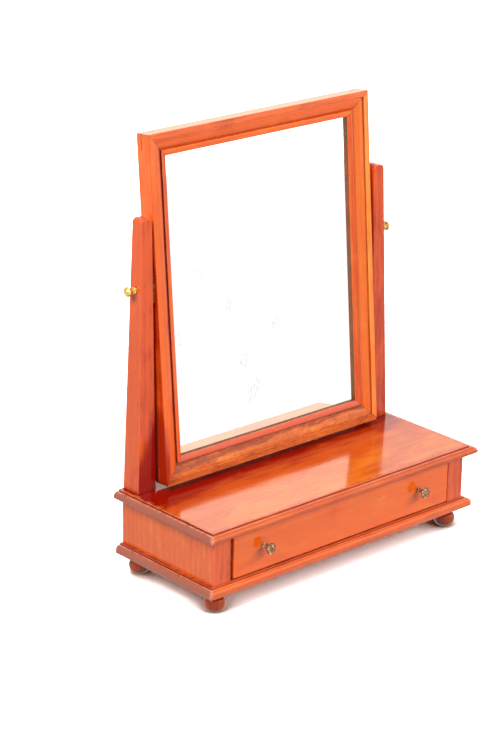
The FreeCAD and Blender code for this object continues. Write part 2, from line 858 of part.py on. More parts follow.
def frame_cuts():
    """Every pocket, slot and hole in the four frame members."""
    pockets = plate_pockets()
    return pockets + [mirrored(pocket) for pocket in pockets] + corner_keys(fit_clearance) \
        + sprig_set(fit_clearance)


def frame_members():
    """The four mitred members, each turned to its side of the frame and cut for what it carries."""
    middle = Vector(0, 0, frame_height / 2)
    y_axis = Vector(0, 1, 0)
    bottom = frame_member(frame_width)
    top = frame_member(frame_width)
    top.rotate(middle, y_axis, 180)
    stiles = {}
    for name, turn, side in (("frame_left_stile", 90, -1), ("frame_right_stile", -90, 1)):
        stile = frame_member(frame_height)
        stile.rotate(Vector(0, 0, 0), y_axis, turn)
        stile.translate(Vector(side * half_frame, 0, frame_height / 2))
        stiles[name] = stile
    members = {"frame_bottom_rail": bottom, "frame_top_rail": top, **stiles}
    cuts = frame_cuts()
    return {name: with_holes(member, cuts) for name, member in members.items()}


def glass_sheet(front, thickness):
    """A sheet that fills the rebate, from one distance behind the front face to another."""
    return box(-glass_half_width, glass_half_width, front, front + thickness,
               glass_bottom, frame_height - glass_bottom)


# ---------------------------------------------------------------- pivot screws
def pivot_screw():
    """The right thumb-screw: domed head, coved neck, collar, plain shank and threaded end."""
    head = pivot_head_diameter / 2
    neck = pivot_neck_diameter / 2
    collar = pivot_collar_diameter / 2
    shank = pivot_shank_diameter / 2
    thread = pivot_thread_diameter / 2
    collar_start = running_gap
    collar_end = collar_start + pivot_collar_thickness
    neck_end = collar_end + pivot_neck_rise
    head_start = pivot_projection - pivot_head_height
    rim = head - pivot_rim_bulge
    rim_end = head_start + pivot_rim_height
    shank_end = half_frame + boss_height + washer_thickness / 2 - seat_x
    thread_end = half_frame + boss_height - pivot_thread_length - seat_x
    return turned(Vector(seat_x, pivot_y, pivot_z), Vector(1, 0, 0), (0, thread_end),
                  (thread - pivot_thread_bevel, thread_end), (thread, thread_end + pivot_thread_bevel),
                  (thread, shank_end), (shank, shank_end), (shank, collar_start),
                  (collar - pivot_collar_bevel, collar_start), (collar, collar_start + pivot_collar_bevel),
                  (collar, collar_end), bowed((collar, collar_end), (neck, neck_end), pivot_collar_cove),
                  bowed((neck, neck_end), (rim, head_start), pivot_neck_cove),
                  bowed((rim, head_start), (rim, rim_end), -pivot_rim_bulge),
                  dome(rim, rim_end, pivot_projection))


# ---------------------------------------------------------------- the assembly
def build():
    """Every node of the object, by name."""
    nodes = {
        "top_board": top_board(),
        "plinth_board": plinth_board(),
        "case_back_board": case_back_board(),
        "left_side_panel": side_panel(),
        "right_side_panel": mirrored(side_panel()),
        "left_front_stile": front_stile(),
        "right_front_stile": mirrored(front_stile()),
        "left_drawer_guide": drawer_guide(),
        "right_drawer_guide": mirrored(drawer_guide()),
        "drawer_stops": drawer_stops(),
        "left_upright_block": upright_block(),
        "right_upright_block": mirrored(upright_block()),
        "top_glue_blocks": top_glue_blocks(),
        "left_upright": mirrored(upright()),
        "right_upright": upright(),
        "upright_screws": Part.makeCompound(upright_screw_set()),
        "plinth_screws": Part.makeCompound(plinth_screw_set()),
        "drawer_front": drawer_front(),
        "drawer_left_side": drawer_side(drawer_left_x, drawer_inner_left_x),
        "drawer_right_side": drawer_side(drawer_inner_right_x, drawer_right_x),
        "drawer_back": drawer_back(),
        "drawer_bottom": drawer_bottom(),
        "drawer_bottom_pins": Part.makeCompound(drawer_pin_set()),
        "drawer_knob_nuts": drawer_knob_nuts(),
        "frame_corner_keys": hang(Part.makeCompound(corner_keys())),
        "mirror_glass": hang(glass_sheet(rebate_front, glass_thickness)),
        "mirror_backboard": hang(glass_sheet(backboard_front, backboard_thickness)),
        "backboard_sprigs": hang(Part.makeCompound(sprig_set())),
        "left_pivot_plate": hang(mirrored(pivot_plate())),
        "right_pivot_plate": hang(pivot_plate()),
        "left_pivot_washer": hang(mirrored(pivot_washer())),
        "right_pivot_washer": hang(pivot_washer()),
        "left_pivot_screw": mirrored(pivot_screw()),
        "right_pivot_screw": pivot_screw(),
    }
    plate_screws = plate_screw_set()
    plate_screws = plate_screws + [mirrored(screw) for screw in plate_screws]
    nodes["pivot_plate_screws"] = hang(Part.makeCompound(plate_screws))
    for name, (x, y) in foot_places().items():
        nodes[name] = turned_foot(x, y)
    for name, x in knob_places().items():
        nodes[name] = drawer_knob(x)
    for name, member in frame_members().items():
        nodes[name] = hang(member)
    return nodes


def main():
    """Write one STEP file for each node."""
    os.makedirs("parts", exist_ok=True)
    for name, shape in build().items():
        for solid in shape.Solids:
            if not solid.isValid() or solid.Volume <= 0:
                raise ValueError(name + " is not a sound solid")
        shape.exportStep(os.path.join("parts", name + ".step"))
        print(name, len(shape.Solids), round(shape.Volume))


main()
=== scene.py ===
import json
import math

import bmesh
import bpy
import numpy as np
from mathutils import Matrix, Vector


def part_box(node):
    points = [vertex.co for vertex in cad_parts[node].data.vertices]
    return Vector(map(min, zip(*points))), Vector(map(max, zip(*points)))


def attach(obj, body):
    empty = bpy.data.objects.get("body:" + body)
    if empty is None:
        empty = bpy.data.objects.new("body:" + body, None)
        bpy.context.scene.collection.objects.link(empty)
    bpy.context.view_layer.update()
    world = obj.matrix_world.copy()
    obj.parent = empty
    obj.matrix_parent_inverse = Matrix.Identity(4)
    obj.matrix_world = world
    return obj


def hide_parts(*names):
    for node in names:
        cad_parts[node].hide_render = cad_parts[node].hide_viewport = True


"""Dressing for a box toilet mirror: polished wood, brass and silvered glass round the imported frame.

Sizes are in millimetres until piece() puts them into a mesh. X runs to the right, Y back, Z up.
"""

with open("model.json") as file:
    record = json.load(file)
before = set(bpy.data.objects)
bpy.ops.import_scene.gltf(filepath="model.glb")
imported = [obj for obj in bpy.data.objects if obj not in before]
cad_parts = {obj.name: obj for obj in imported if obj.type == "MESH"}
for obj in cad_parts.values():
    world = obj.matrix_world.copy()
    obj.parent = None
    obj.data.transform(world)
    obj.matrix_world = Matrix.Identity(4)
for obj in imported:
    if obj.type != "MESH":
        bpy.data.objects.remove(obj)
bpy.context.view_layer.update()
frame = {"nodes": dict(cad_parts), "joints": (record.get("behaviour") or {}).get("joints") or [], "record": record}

MM = 0.001
chance = np.random.default_rng(1874)


def low(node):
    """Lowest corner of a solid, in millimetres."""
    return np.array(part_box(node)[0]) / MM


def high(node):
    """Highest corner of a solid, in millimetres."""
    return np.array(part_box(node)[1]) / MM


# ---------------- sizes that the solids don't give
case_back = high("left_side_panel")[1]
board_top = high("top_board")[2]
pivot = np.array(next(j for j in frame["joints"] if j["name"] == "mirror_swing")["pos_m"]) / MM

frame_width = high("frame_bottom_rail")[0] - low("frame_bottom_rail")[0]
frame_height = 460.0
frame_thickness = 24.0
frame_lean = math.radians(4.9)
pivot_above_frame = 265.5
plate_length, plate_width, plate_proud = 46.0, 13.0, 0.3

upright_base = (29.5, 31.3)
upright_crown = (16.8, 18.0)
upright_crown_round = 6.0
upright_back_taper = 3.9

wood_ease = 0.7
less_worn = 0.4
row_length = 9.0
seam_width = 0.8

foot_height, foot_radius, foot_belly = 27.5, 14.25, 10.0
foot_tread, foot_neck, foot_collar = 6.5, 7.5, 10.5
knob_radius, knob_projection = 7.8, 16.5
thumb_radius, thumb_projection = 6.8, 17.5
drawer_side_thickness, drawer_lap = 7.0, 5.0

# Which of x, y and z runs along the grain, across it and through it.
grain_order = {"x": (0, 1, 2), "y": (1, 0, 2), "z": (2, 0, 1)}


# ---------------- surfaces as arrays
def ramp(value, length):
    """0 where a value is below 0, 1 above a length, and straight between them."""
    return np.clip(value / length, 0, 1)


def inside(value, start, end):
    """Where a value lies between two others."""
    return (value > start) & (value < end)


def corner_pull(a, b):
    """What rounds a square corner, as a share of a and b, which run outwards from the corner's inside.

    A point at q goes to q max(q) / |q|, which turns the square into a quarter circle.
    """
    pull = np.maximum(a, b) / np.maximum(np.hypot(a, b), 1e-9)
    return np.where((a > 0) & (b > 0), pull, 1.0) - 1


def spread(start, end, step, ease=None):
    """Places from start to end about a step apart; ease puts one more near each end, for flat shading."""
    count = max(2, int(round(abs(end - start) / step)) + 1)
    places = np.linspace(start, end, count)
    if ease is None:
        return places
    near = math.copysign(min(ease, abs(end - start) / (3 * count)), end - start)
    return np.concatenate([[start, start + near], places[1:-1], [end - near, end]])


def patch(points, worn=0.0, grimy=0.0, tone=0.0, second=0.0, closed=False):
    """One grid of points (rows, columns, 3), and the marks on its polish at each.

    worn, the dirt and shade mark and second, the share of the finish's second colour, run from 0 to 1; tone is
    lighter above 0 and deeper below it. The dirt and shade mark is dirt in some places and painted shade in
    others; tone holds painted shade and painted light in some places, and second holds painted shade on the
    frame's sight faces. closed joins the last column to the first.
    """
    rows, columns = shape = points.shape[:2]
    row = np.arange(rows - 1)[:, None] * columns
    column = np.arange(columns if closed else columns - 1)[None, :]
    following = (column + 1) % columns
    quads = np.stack([row + column, row + following, row + columns + following, row + columns + column], -1)
    marks = {"worn": worn, "grimy": grimy, "tone": tone, "second": second}
    return {"points": points.reshape(-1, 3), "quads": quads.reshape(-1, 4),
            **{label: np.broadcast_to(mark, shape).ravel() for label, mark in marks.items()}}


def rounded_outline(corners, step, arc_steps=4):
    """A closed outline with rounded corners.

    Each corner is (u, v, radius) or (u, v, radius, bow), anticlockwise; the edge that follows swells to
    its right by the bow, as 4 t (1 - t). Outer corners count as worn, inner ones are darkened. Returns points
    (n, 2), worn and the darkening of the inner corners.
    """
    points, worn, grimy = [], [], []
    count = len(corners)
    place = np.array([c[:2] for c in corners], float)
    cuts = []
    for index in range(count):
        before = place[index - 1] - place[index]
        after = place[(index + 1) % count] - place[index]
        before, after = before / np.linalg.norm(before), after / np.linalg.norm(after)
        turn = before[0] * after[1] - before[1] * after[0]
        half = math.acos(np.clip(before @ after, -1, 1)) / 2
        radius = corners[index][2]
        cut = radius / math.tan(half)
        middle = place[index] + (before + after) / np.linalg.norm(before + after) * radius / math.sin(half)
        first, last = place[index] + before * cut, place[index] + after * cut
        share = np.linspace(0, 1, arc_steps + 1 if radius > 0 else 1)[:, None]
        spokes = (first - middle) * (1 - share) + (last - middle) * share
        length = np.linalg.norm(spokes, axis=1, keepdims=True)
        arc = middle + spokes / np.maximum(length, 1e-9) * radius if radius > 0 else place[index][None]
        level = np.sin(np.pi * share[:, 0]) if radius > 0 else np.ones(1)
        cuts.append((arc, level * (turn < 0), level * (turn > 0)))
    for index in range(count):
        arc, arris, hollow = cuts[index]
        start, end = arc[-1], cuts[(index + 1) % count][0][0]
        bow = (*corners[index], 0.0)[3]
        run = end - start
        length = np.linalg.norm(run)
        if length > 3 * wood_ease:
            share = spread(0, 1, step / length, 0.12)[1:-1, None]
        else:
            share = np.array([[0.5]])
        out = np.array([run[1], -run[0]]) / max(length, 1e-6)
        edge = start + run * share + out * bow * 4 * share * (1 - share)
        points += [arc, edge]
        worn += [arris, np.zeros(len(edge))]
        grimy += [hollow, np.zeros(len(edge))]
    return np.concatenate(points), np.concatenate(worn), np.concatenate(grimy)


def eased_block(lowest, highest, ease, wear=1.0, tone=None, extra=((), (), ())):
    """Six faces of a block with rounded edges.

    A point q of the sharp block goes to c + ease (q - c) / |q - c|, where c is q held inside the block
    shrunk by the ease all round. Wear is greatest at the middle of an edge. tone(face, points) shades a
    face, which is (axis, 0 or 1); extra holds more grid lines for each axis.
    """
    lowest, highest = np.array(lowest, float), np.array(highest, float)
    bends = ease - ease * np.tan(np.radians([45, 30, 15, 0]))
    lines = []
    for k in range(3):
        inner = spread(lowest[k] + ease, highest[k] - ease, row_length, 0.6)[1:-1]
        line = np.concatenate([lowest[k] + bends, inner, highest[k] - bends[::-1], extra[k]])
        lines.append(np.unique(np.round(line, 5)))
    patches = []
    for axis in range(3):
        first, second = [k for k in range(3) if k != axis]
        for end, level in enumerate((lowest[axis], highest[axis])):
            skin = np.empty((len(lines[first]), len(lines[second]), 3))
            skin[..., first] = lines[first][:, None]
            skin[..., second] = lines[second][None, :]
            skin[..., axis] = level
            core = np.clip(skin, lowest + ease, highest - ease)
            out = skin - core
            out /= np.linalg.norm(out, axis=-1, keepdims=True)
            worn = wear * ramp(1 - np.abs(out).max(-1), 1 - math.sqrt(0.5))
            points = core + ease * out
            patches.append(patch(points, worn, 0.0, 0.0 if tone is None else tone((axis, end), points)))
    return patches


def turned(centre, axis, outline, around=48):
    """An outline of (radius, distance) turned about an axis: centre + axis d + r (cos a, sin a)."""
    axis = np.array(axis, float)
    across = np.array([0.0, 0.0, 1.0]) if abs(axis[2]) < 0.5 else np.array([1.0, 0.0, 0.0])
    third = np.cross(axis, across)
    angle = np.linspace(0, 2 * math.pi, around, endpoint=False)
    radius, distance = np.array(outline, float).T
    ring = np.cos(angle)[:, None] * across + np.sin(angle)[:, None] * third
    points = centre + distance[:, None, None] * axis + radius[:, None, None] * ring[None]
    return patch(points, closed=True)


def bent(start, end, bow, steps=7):
    """A run between two outline points that swells to its left by the bow, as 4 t (1 - t)."""
    start, end = np.array(start, float), np.array(end, float)
    run = end - start
    left = np.array([-run[1], run[0]]) / np.linalg.norm(run)
    t = np.linspace(0, 1, steps)[:, None]
    return start + t * run + 4 * t * (1 - t) * bow * left


def quarter(start, end, steps):
    """A quarter of an ellipse between two outline points, which leaves along the first axis."""
    a = np.radians(np.linspace(0, 90, steps))
    return np.stack([start[0] + (end[0] - start[0]) * np.sin(a),
                     start[1] + (end[1] - start[1]) * (1 - np.cos(a))], 1)


# ---------------- wear in the shape
def dented(points, worn, count):
    """Small knocks on the arrises: each pushes points in by d exp(-s^2 / r^2), and darkens them."""
    radius, depth = (0.5, 1.3), (0.05, 0.22)
    edges = np.flatnonzero(worn > 0.5)
    if len(edges) == 0 or count == 0:
        return points, np.zeros(len(points))
    places = points[chance.choice(edges, count)]
    size = chance.uniform(*radius, count)
    sink = chance.uniform(*depth, count)
    inward = points.mean(0) - points
    inward /= np.linalg.norm(inward, axis=1, keepdims=True)
    gap = np.linalg.norm(points[:, None] - places[None], axis=2)
    knock = np.exp(-(gap / size) ** 2)
    return points + inward * (knock * sink).max(1)[:, None] * (worn > 0)[:, None], knock.max(1)


# ---------------- pieces
def piece(name, body, node, patches, material, grain, knocks=0, place=None):
    """A finished piece: its patches joined, closed and shaded, with its wear, dirt, painted shade and light, and
    its grain.

    The grain's coordinates are (along, across, through) in metres, moved on for each piece, so that no
    two pieces are cut from the same part of the tree.
    """
    tree_step, weld, sliver, sharp_angle = np.array([3.1, 0.083, 0.061]), 2e-6, 1e-7, 38
    start = np.cumsum([0] + [len(p["points"]) for p in patches])
    points = np.concatenate([p["points"] for p in patches])
    quads = np.concatenate([p["quads"] + s for p, s in zip(patches, start)])
    marks = {label: np.concatenate([p[label] for p in patches])
             for label in ("worn", "grimy", "tone", "second")}
    axis, number = grain
    fibre = points[:, grain_order[axis]] * MM + tree_step * number
    moved, marks["bruise"] = dented(points, marks["worn"], knocks)
    if place is not None:
        moved = place(moved)
    mesh = bpy.data.meshes.new(name)
    mesh.from_pydata((moved * MM).tolist(), [], quads.tolist())
    mesh.attributes.new("grain", "FLOAT_VECTOR", "POINT").data.foreach_set("vector", fibre.ravel())
    for label, values in marks.items():
        mesh.attributes.new(label, "FLOAT", "POINT").data.foreach_set("value", values)
    shell = bmesh.new()
    shell.from_mesh(mesh)
    bmesh.ops.remove_doubles(shell, verts=shell.verts, dist=weld)
    bmesh.ops.dissolve_degenerate(shell, edges=shell.edges, dist=sliver)
    rims = [edge for edge in shell.edges if edge.is_boundary]
    if rims:
        lids = bmesh.ops.holes_fill(shell, edges=rims, sides=0)["faces"]
        bmesh.ops.triangulate(shell, faces=lids, ngon_method="EAR_CLIP")
    bmesh.ops.recalc_face_normals(shell, faces=shell.faces)
    shell.to_mesh(mesh)
    shell.free()
    mesh.shade_smooth()
    mesh.set_sharp_from_angle(angle=math.radians(sharp_angle))
    mesh.materials.append(material)
    thing = linked(name, mesh)
    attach(thing, body)
    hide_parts(node)


def linked(name, data):
    """A new object in the scene."""
    thing = bpy.data.objects.new(name, data)
    bpy.context.scene.collection.objects.link(thing)
    return thing


def hang(points):
    """From the mirror's own upright frame to its place: leaned back about the pivots."""
    back = points[:, 1] - frame_thickness / 2
    rise = points[:, 2] - pivot_above_frame
    return np.stack([points[:, 0], pivot[1] + back * math.cos(frame_lean) + rise * math.sin(frame_lean),
                     pivot[2] - back * math.sin(frame_lean) + rise * math.cos(frame_lean)], 1)


# ---------------- shader kit
class Signal:
    """A node's output. Sums on it add the nodes that work them out."""

    def __init__(self, node, output=0):
        self.tree = node.id_data
        self.socket = node.outputs[output]

    def maths(self, operation, other=0.0):
        return Signal(add(self.tree, "Math", {0: self, 1: other}, operation=operation))

    def __add__(self, other):
        return self.maths("ADD", other)

    def __sub__(self, other):
        return self.maths("SUBTRACT", other)

    def __mul__(self, other):
        return self.maths("MULTIPLY", other)

    def __abs__(self):
        return self.maths("ABSOLUTE")

    def clamped(self):
        self.socket.node.use_clamp = True
        return self


def feed(node, inputs):
    """Sets a node's inputs, each to a value or to another node's output."""
    for key, value in inputs.items():
        if isinstance(value, Signal):
            node.id_data.links.new(value.socket, node.inputs[key])
        else:
            node.inputs[key].default_value = value
    return node


def add(tree, kind, inputs, **settings):
    """A new node with its settings and inputs."""
    node = tree.nodes.new("ShaderNode" + kind)
    for key, value in settings.items():
        setattr(node, key, value)
    return feed(node, inputs)


def blend(factor, a, b, kind="MIX"):
    """Colour a with colour b laid over it by a factor."""
    tree = (factor if isinstance(factor, Signal) else a).tree
    return Signal(add(tree, "Mix", {0: factor, 6: a, 7: b}, data_type="RGBA", blend_type=kind), 2)


def between(value, start, end, first=0.0, last=1.0):
    """A smooth step of a value from one level to another."""
    return Signal(add(value.tree, "MapRange", {0: value, 1: start, 2: end, 3: first, 4: last},
                      interpolation_type="SMOOTHSTEP"))


def stretched(vector, scale):
    """A vector times a scale for each axis."""
    return Signal(add(vector.tree, "VectorMath", {0: vector, 1: scale}, operation="MULTIPLY"))


def noise(vector, scale, detail=2.0, roughness=0.5, distortion=0.0):
    """Noise over a vector, stretched by a scale for each axis."""
    return Signal(add(vector.tree, "TexNoise",
                      {"Vector": stretched(vector, scale), "Scale": 1.0, "Detail": detail,
                       "Roughness": roughness, "Distortion": distortion}))


def object_place(tree):
    """The place of a point in its mesh, in metres."""
    return Signal(add(tree, "TexCoord", {}), "Object")


def axes_of(vector):
    """Three parts of a vector."""
    parts = add(vector.tree, "SeparateXYZ", {0: vector})
    return [Signal(parts, axis) for axis in range(3)]


def bumps(height, strength, distance):
    """A normal that follows a height."""
    return Signal(add(height.tree, "Bump",
                      {"Strength": strength, "Distance": distance, "Height": height}))


def group(name, inputs, outputs):
    """An empty node group: its tree, its inputs by name and its output node.

    An input is a kind of socket, or the number that a Float socket starts with.
    """
    tree = bpy.data.node_groups.new(name, "ShaderNodeTree")
    for label, kind in inputs.items():
        is_level = isinstance(kind, float)
        socket = tree.interface.new_socket(name=label, in_out="INPUT",
                                           socket_type="NodeSocket" + ("Float" if is_level else kind))
        if is_level:
            socket.default_value = kind
    for label, kind in outputs.items():
        tree.interface.new_socket(name=label, in_out="OUTPUT", socket_type="NodeSocket" + kind)
    entry = tree.nodes.new("NodeGroupInput")
    return tree, {label: Signal(entry, label) for label in inputs}, tree.nodes.new("NodeGroupOutput")


def material(name, **constants):
    """A new material and its Principled shader, with values that are the same all over it."""
    made = bpy.data.materials.new(name)
    made.use_nodes = True
    shader = made.node_tree.nodes["Principled BSDF"]
    feed(shader, {key.replace("_", " "): value for key, value in constants.items()})
    return made, made.node_tree, shader


# ---------------- finishes
def wood_grain_group():
    """Wood with growth bands, streaks, clouds, mottles, fibres and pores; Grain runs along its first axis.

    The level is 0.5 + Tone + Contrast times the sum of each pattern, less its middle, times its share. Tone
    carries painted shade and painted light in some places.
    """
    tree, given, made = group(
        "wood_grain",
        {"Grain": "Vector", "Deep": "Color", "Middle": "Color", "Light": "Color", "Contrast": 1.0,
         "Figure": 0.3, "Streaks": 0.75, "Clouds": 0.8, "Mottle": 0.0, "Tone": 0.0},
        {"Color": "Color", "Pores": "Float", "Height": "Float"})
    ring_rate, ring_wander, fibre_share, pore_shade = 780.0, 24.0, 0.3, (0.6, 0.4, 0.3, 1)
    grain = given["Grain"]
    streaks = noise(grain, (5.0, 260.0, 260.0), 3.0, 0.65, 0.2)
    fibres = noise(grain, (30.0, 1500.0, 1500.0), 2.0, 0.6)
    clouds = noise(grain, (14.0, 34.0, 34.0), 3.0, 0.55, 0.7)
    mottle = noise(grain, (75.0, 190.0, 190.0), 3.0, 0.6, 0.8)
    warp = noise(grain, (3.0, 16.0, 16.0), 2.0, 0.5)
    _, across, through = axes_of(grain)
    pith = (across.maths("POWER", 2.0) + through.maths("POWER", 2.0)).maths("SQRT")
    rings = pith * ring_rate + warp * ring_wander
    bands = rings.maths("SINE") * -0.3 + 0.5
    pore_field = noise(grain, (110.0, 2600.0, 2600.0), 1.0, 0.5)
    pores = between(pore_field, 0.62, 0.72) * between(streaks, 0.4, 0.65)
    level = (fibres - 0.5) * fibre_share
    for pattern, share in ((streaks, "Streaks"), (clouds, "Clouds"), (mottle, "Mottle"), (bands, "Figure")):
        level = level + (pattern - 0.5) * given[share]
    level = (level * given["Contrast"] + given["Tone"] + 0.5).clamped()
    colour = blend(between(level, 0.0, 0.5), given["Deep"], given["Middle"])
    colour = blend(between(level, 0.5, 0.95), colour, given["Light"])
    shade = blend(1.0, colour, pore_shade, "MULTIPLY")
    feed(made, {"Color": blend(pores * 0.45, colour, shade), "Pores": pores,
                "Height": fibres * 0.2 - pores})
    return tree


def age_and_shade_group():
    """What the years add, and painted shade: rubbed arrises, darkening by the dirt and shade mark (dirt in some
    places, painted shade in others), dark knocks and fine scratches.
    """
    tree, given, made = group(
        "age_and_shade",
        {"Grain": "Vector", "Color": "Color", "Worn": 0.0, "Grimy": 0.0, "Bruise": 0.0, "Second": 0.0,
         "Second Color": "Color", "Pale": "Color", "Dirt": "Color"},
        {"Color": "Color", "Roughness": "Float", "Height": "Float"})
    grain, dirt = given["Grain"], given["Dirt"]
    rub = noise(grain, (40.0, 300.0, 300.0), 3.0, 0.6)
    other = given["Second"] * between(rub, 0.3, 0.7, 0.75, 1.0)
    rubbed = given["Worn"] * between(rub, 0.35, 0.65, 0.15, 0.85)
    colour = blend(other, given["Color"], given["Second Color"])
    colour = blend(rubbed, colour, given["Pale"])
    patchy = noise(grain, (30.0, 160.0, 160.0), 2.0, 0.6)
    # Dirt, and painted shade where the mark stands for shade, darken the colour towards the dirt and shade colour.
    colour = blend(given["Grimy"] * between(patchy, 0.2, 0.6, 0.75, 1.0), colour, dirt)
    cells = add(tree, "TexVoronoi",
                {"Vector": stretched(grain, (24.0, 60.0, 60.0)), "Scale": 1.0, "Randomness": 1.0})
    some = Signal(add(tree, "SeparateColor", {0: Signal(cells, "Color")}))
    spot = between(Signal(cells, "Distance"), 0.07, 0.02) * between(some, 0.45, 0.55)
    scratch = between(abs(noise(grain, (22.0, 170.0, 90.0), 1.0, 0.5, 1.6) - 0.5), 0.004, 0.0)
    scratch = scratch * between(some, 0.5, 0.2)
    marks = (spot * 0.75).maths("MAXIMUM", given["Bruise"] * 0.85).maths("MAXIMUM", scratch * 0.22)
    haze = noise(grain, (9.0, 30.0, 30.0), 3.0, 0.6)
    rough = between(haze, 0.3, 0.75, 0.05, 0.12) + rubbed * 0.22
    rough = rough + between(given["Grimy"], 0.9, 1.0, 0.0, 0.5) + marks * 0.3
    feed(made, {"Color": blend(marks, colour, dirt), "Roughness": rough,
                "Height": spot * -5.0 + scratch * -1.5 + haze * 3.0})
    return tree


wood_grain = wood_grain_group()
age_and_shade = age_and_shade_group()


def point_value(tree, name, output="Fac"):
    """A value that piece() has put on every point."""
    return Signal(add(tree, "Attribute", {}, attribute_name=name), output)


def grain_from_place(tree, along):
    """The grain's coordinates for a solid that has none of its own: its place, with one axis first."""
    parts = axes_of(object_place(tree))
    order = grain_order[along]
    return Signal(add(tree, "CombineXYZ", {k: parts[order[k]] for k in range(3)}))


def wood(name, deep, middle, light, pale=(0.93, 0.42, 0.2), dirt=(0.20, 0.009, 0.002),
         second=(0.36, 0.10, 0.055), dull=0.0, gloss=0.5, relief=0.1, along=None, **pattern):
    """One wood finish: its grain, its age with painted shade and light, and its relief; pattern sets the grain's
    own shares.
    """
    made, tree, shader = material(name, IOR=1.5, Specular_IOR_Level=gloss)
    grain = point_value(tree, "grain", "Vector") if along is None else grain_from_place(tree, along)
    fibre = add(tree, "Group", {}, node_tree=wood_grain)
    feed(fibre, {"Grain": grain, "Deep": (*deep, 1), "Middle": (*middle, 1), "Light": (*light, 1),
                 **{label.capitalize(): value for label, value in pattern.items()}})
    surface_marks = add(tree, "Group", {}, node_tree=age_and_shade)
    feed(surface_marks, {"Grain": grain, "Color": Signal(fibre, "Color"), "Pale": (*pale, 1), "Dirt": (*dirt, 1),
               "Second Color": (*second, 1)})
    if along is None:
        feed(fibre, {"Tone": point_value(tree, "tone")})
        feed(surface_marks, {label.capitalize(): point_value(tree, label)
                   for label in ("worn", "grimy", "bruise", "second")})
    rough = Signal(surface_marks, "Roughness") + Signal(fibre, "Pores") * 0.05 + dull
    height = Signal(fibre, "Height") + Signal(surface_marks, "Height")
    feed(shader, {"Base Color": Signal(surface_marks, "Color"), "Roughness": rough.clamped(),
                  "Normal": bumps(height, relief, 0.0002)})
    return made


def metal(name, bright, dark, patina, rough):
    """Metal that has darkened in patches and picked up fine scratches from hands."""
    made, tree, shader = material(name, Metallic=1.0)
    place = object_place(tree)
    clouds = noise(place, (420.0,) * 3, 4.0, 0.65)
    specks = noise(place, (2520.0,) * 3, 2.0, 0.6)
    tarnish = between(clouds + specks * 0.3, 0.80 - patina, 0.95 - patina)
    feed(shader, {"Base Color": blend(tarnish, (*bright, 1), (*dark, 1)),
                  "Roughness": between(tarnish, 0.0, 1.0, rough, rough + 0.28),
                  "Normal": bumps(specks + clouds * 4.0, 0.35, 0.0003)})
    return made


def silvered_glass():
    """Old looking glass: a reflection brighter than the light it gets, as painted light, with a few hair scratches
    and specks in the silvering.
    """
    # The clear silvering reflects 1.22 times the light it gets: painted light in its reflection.
    clear, flawed = (1.22, 1.22, 1.17, 1), (0.35, 0.34, 0.33, 1)
    made, tree, shader = material("silvered_glass", Metallic=1.0)
    place = object_place(tree)
    speck = between(noise(place, (260.0,) * 3, 2.0, 0.7), 0.76, 0.8)
    hairs = noise(place, (420.0, 30.0, 22.0), 1.0, 0.5, 2.5)
    where = noise(place, (16.0,) * 3, 1.0)
    hair = between(abs(hairs - 0.5), 0.035, 0.0) * between(where, 0.63, 0.69)
    mark = (speck * 0.5).maths("MAXIMUM", hair * 0.9)
    feed(shader, {"Base Color": blend(mark, clear, flawed),
                  "Roughness": between(mark, 0.0, 0.5, 0.0, 0.3)})
    return made


# The frame's second colour is dark: painted shade for its sight faces in the recess by the glass.
sight_face_shade_colour, rubbed_pale = (0.10, 0.055, 0.016), (0.92, 0.50, 0.34)
red_wood = wood("red_polished_wood", (0.50, 0.030, 0.003), (0.78, 0.108, 0.012), (0.88, 0.20, 0.035),
                contrast=0.8, streaks=0.45, clouds=0.8)
panel_wood = wood("panel_polished_wood", (0.46, 0.026, 0.002), (0.76, 0.116, 0.008), (0.90, 0.25, 0.035),
                  contrast=0.8, streaks=0.1, clouds=1.2, mottle=0.35)
board_wood = wood("board_polished_wood", (0.29, 0.005, 0.001), (0.58, 0.074, 0.004), (0.76, 0.175, 0.012),
                  dull=0.035, streaks=0.15, clouds=0.8, figure=0.1, pale=rubbed_pale)
plinth_wood = wood("plinth_polished_wood", (0.36, 0.018, 0.002), (0.74, 0.112, 0.010), (0.86, 0.19, 0.028),
                   streaks=0.4, clouds=0.6, pale=rubbed_pale)
figured_wood = wood("figured_polished_wood", (0.30, 0.042, 0.005), (0.62, 0.115, 0.012), (0.80, 0.26, 0.025),
                    dirt=(0.11, 0.03, 0.008), gloss=0.38, streaks=0.2, clouds=0.9, mottle=1.0, figure=0.35,
                    second=(0.64, 0.080, 0.033))
orange_wood = wood("orange_polished_wood", (0.62, 0.06, 0.003), (0.73, 0.140, 0.012), (0.94, 0.27, 0.03),
                   gloss=0.38, streaks=0.6, clouds=0.8, figure=0.2, second=sight_face_shade_colour)
frame_wood = wood("frame_polished_wood", (0.38, 0.018, 0.001), (0.84, 0.125, 0.010), (0.95, 0.24, 0.03),
                  gloss=0.38, streaks=0.35, clouds=0.6, figure=0.1, second=sight_face_shade_colour)
front_wood = wood("drawer_front_polished_wood", (0.60, 0.05, 0.004), (0.87, 0.132, 0.008),
                  (0.95, 0.23, 0.02), streaks=0.4, clouds=0.8, figure=0.1, second=(0.50, 0.25, 0.11))
post_wood = wood("upright_polished_wood", (0.30, 0.004, 0.001), (0.72, 0.095, 0.014), (0.84, 0.17, 0.03),
                 gloss=0.38, streaks=0.3, clouds=0.6, figure=0.1)
foot_wood = wood("foot_polished_wood", (0.14, 0.009, 0.001), (0.46, 0.055, 0.004), (0.66, 0.14, 0.018),
                 gloss=0.32, streaks=1.0, clouds=1.0)
key_wood = wood("key_polished_wood", (0.26, 0.02, 0.003), (0.46, 0.05, 0.008), (0.66, 0.10, 0.02))
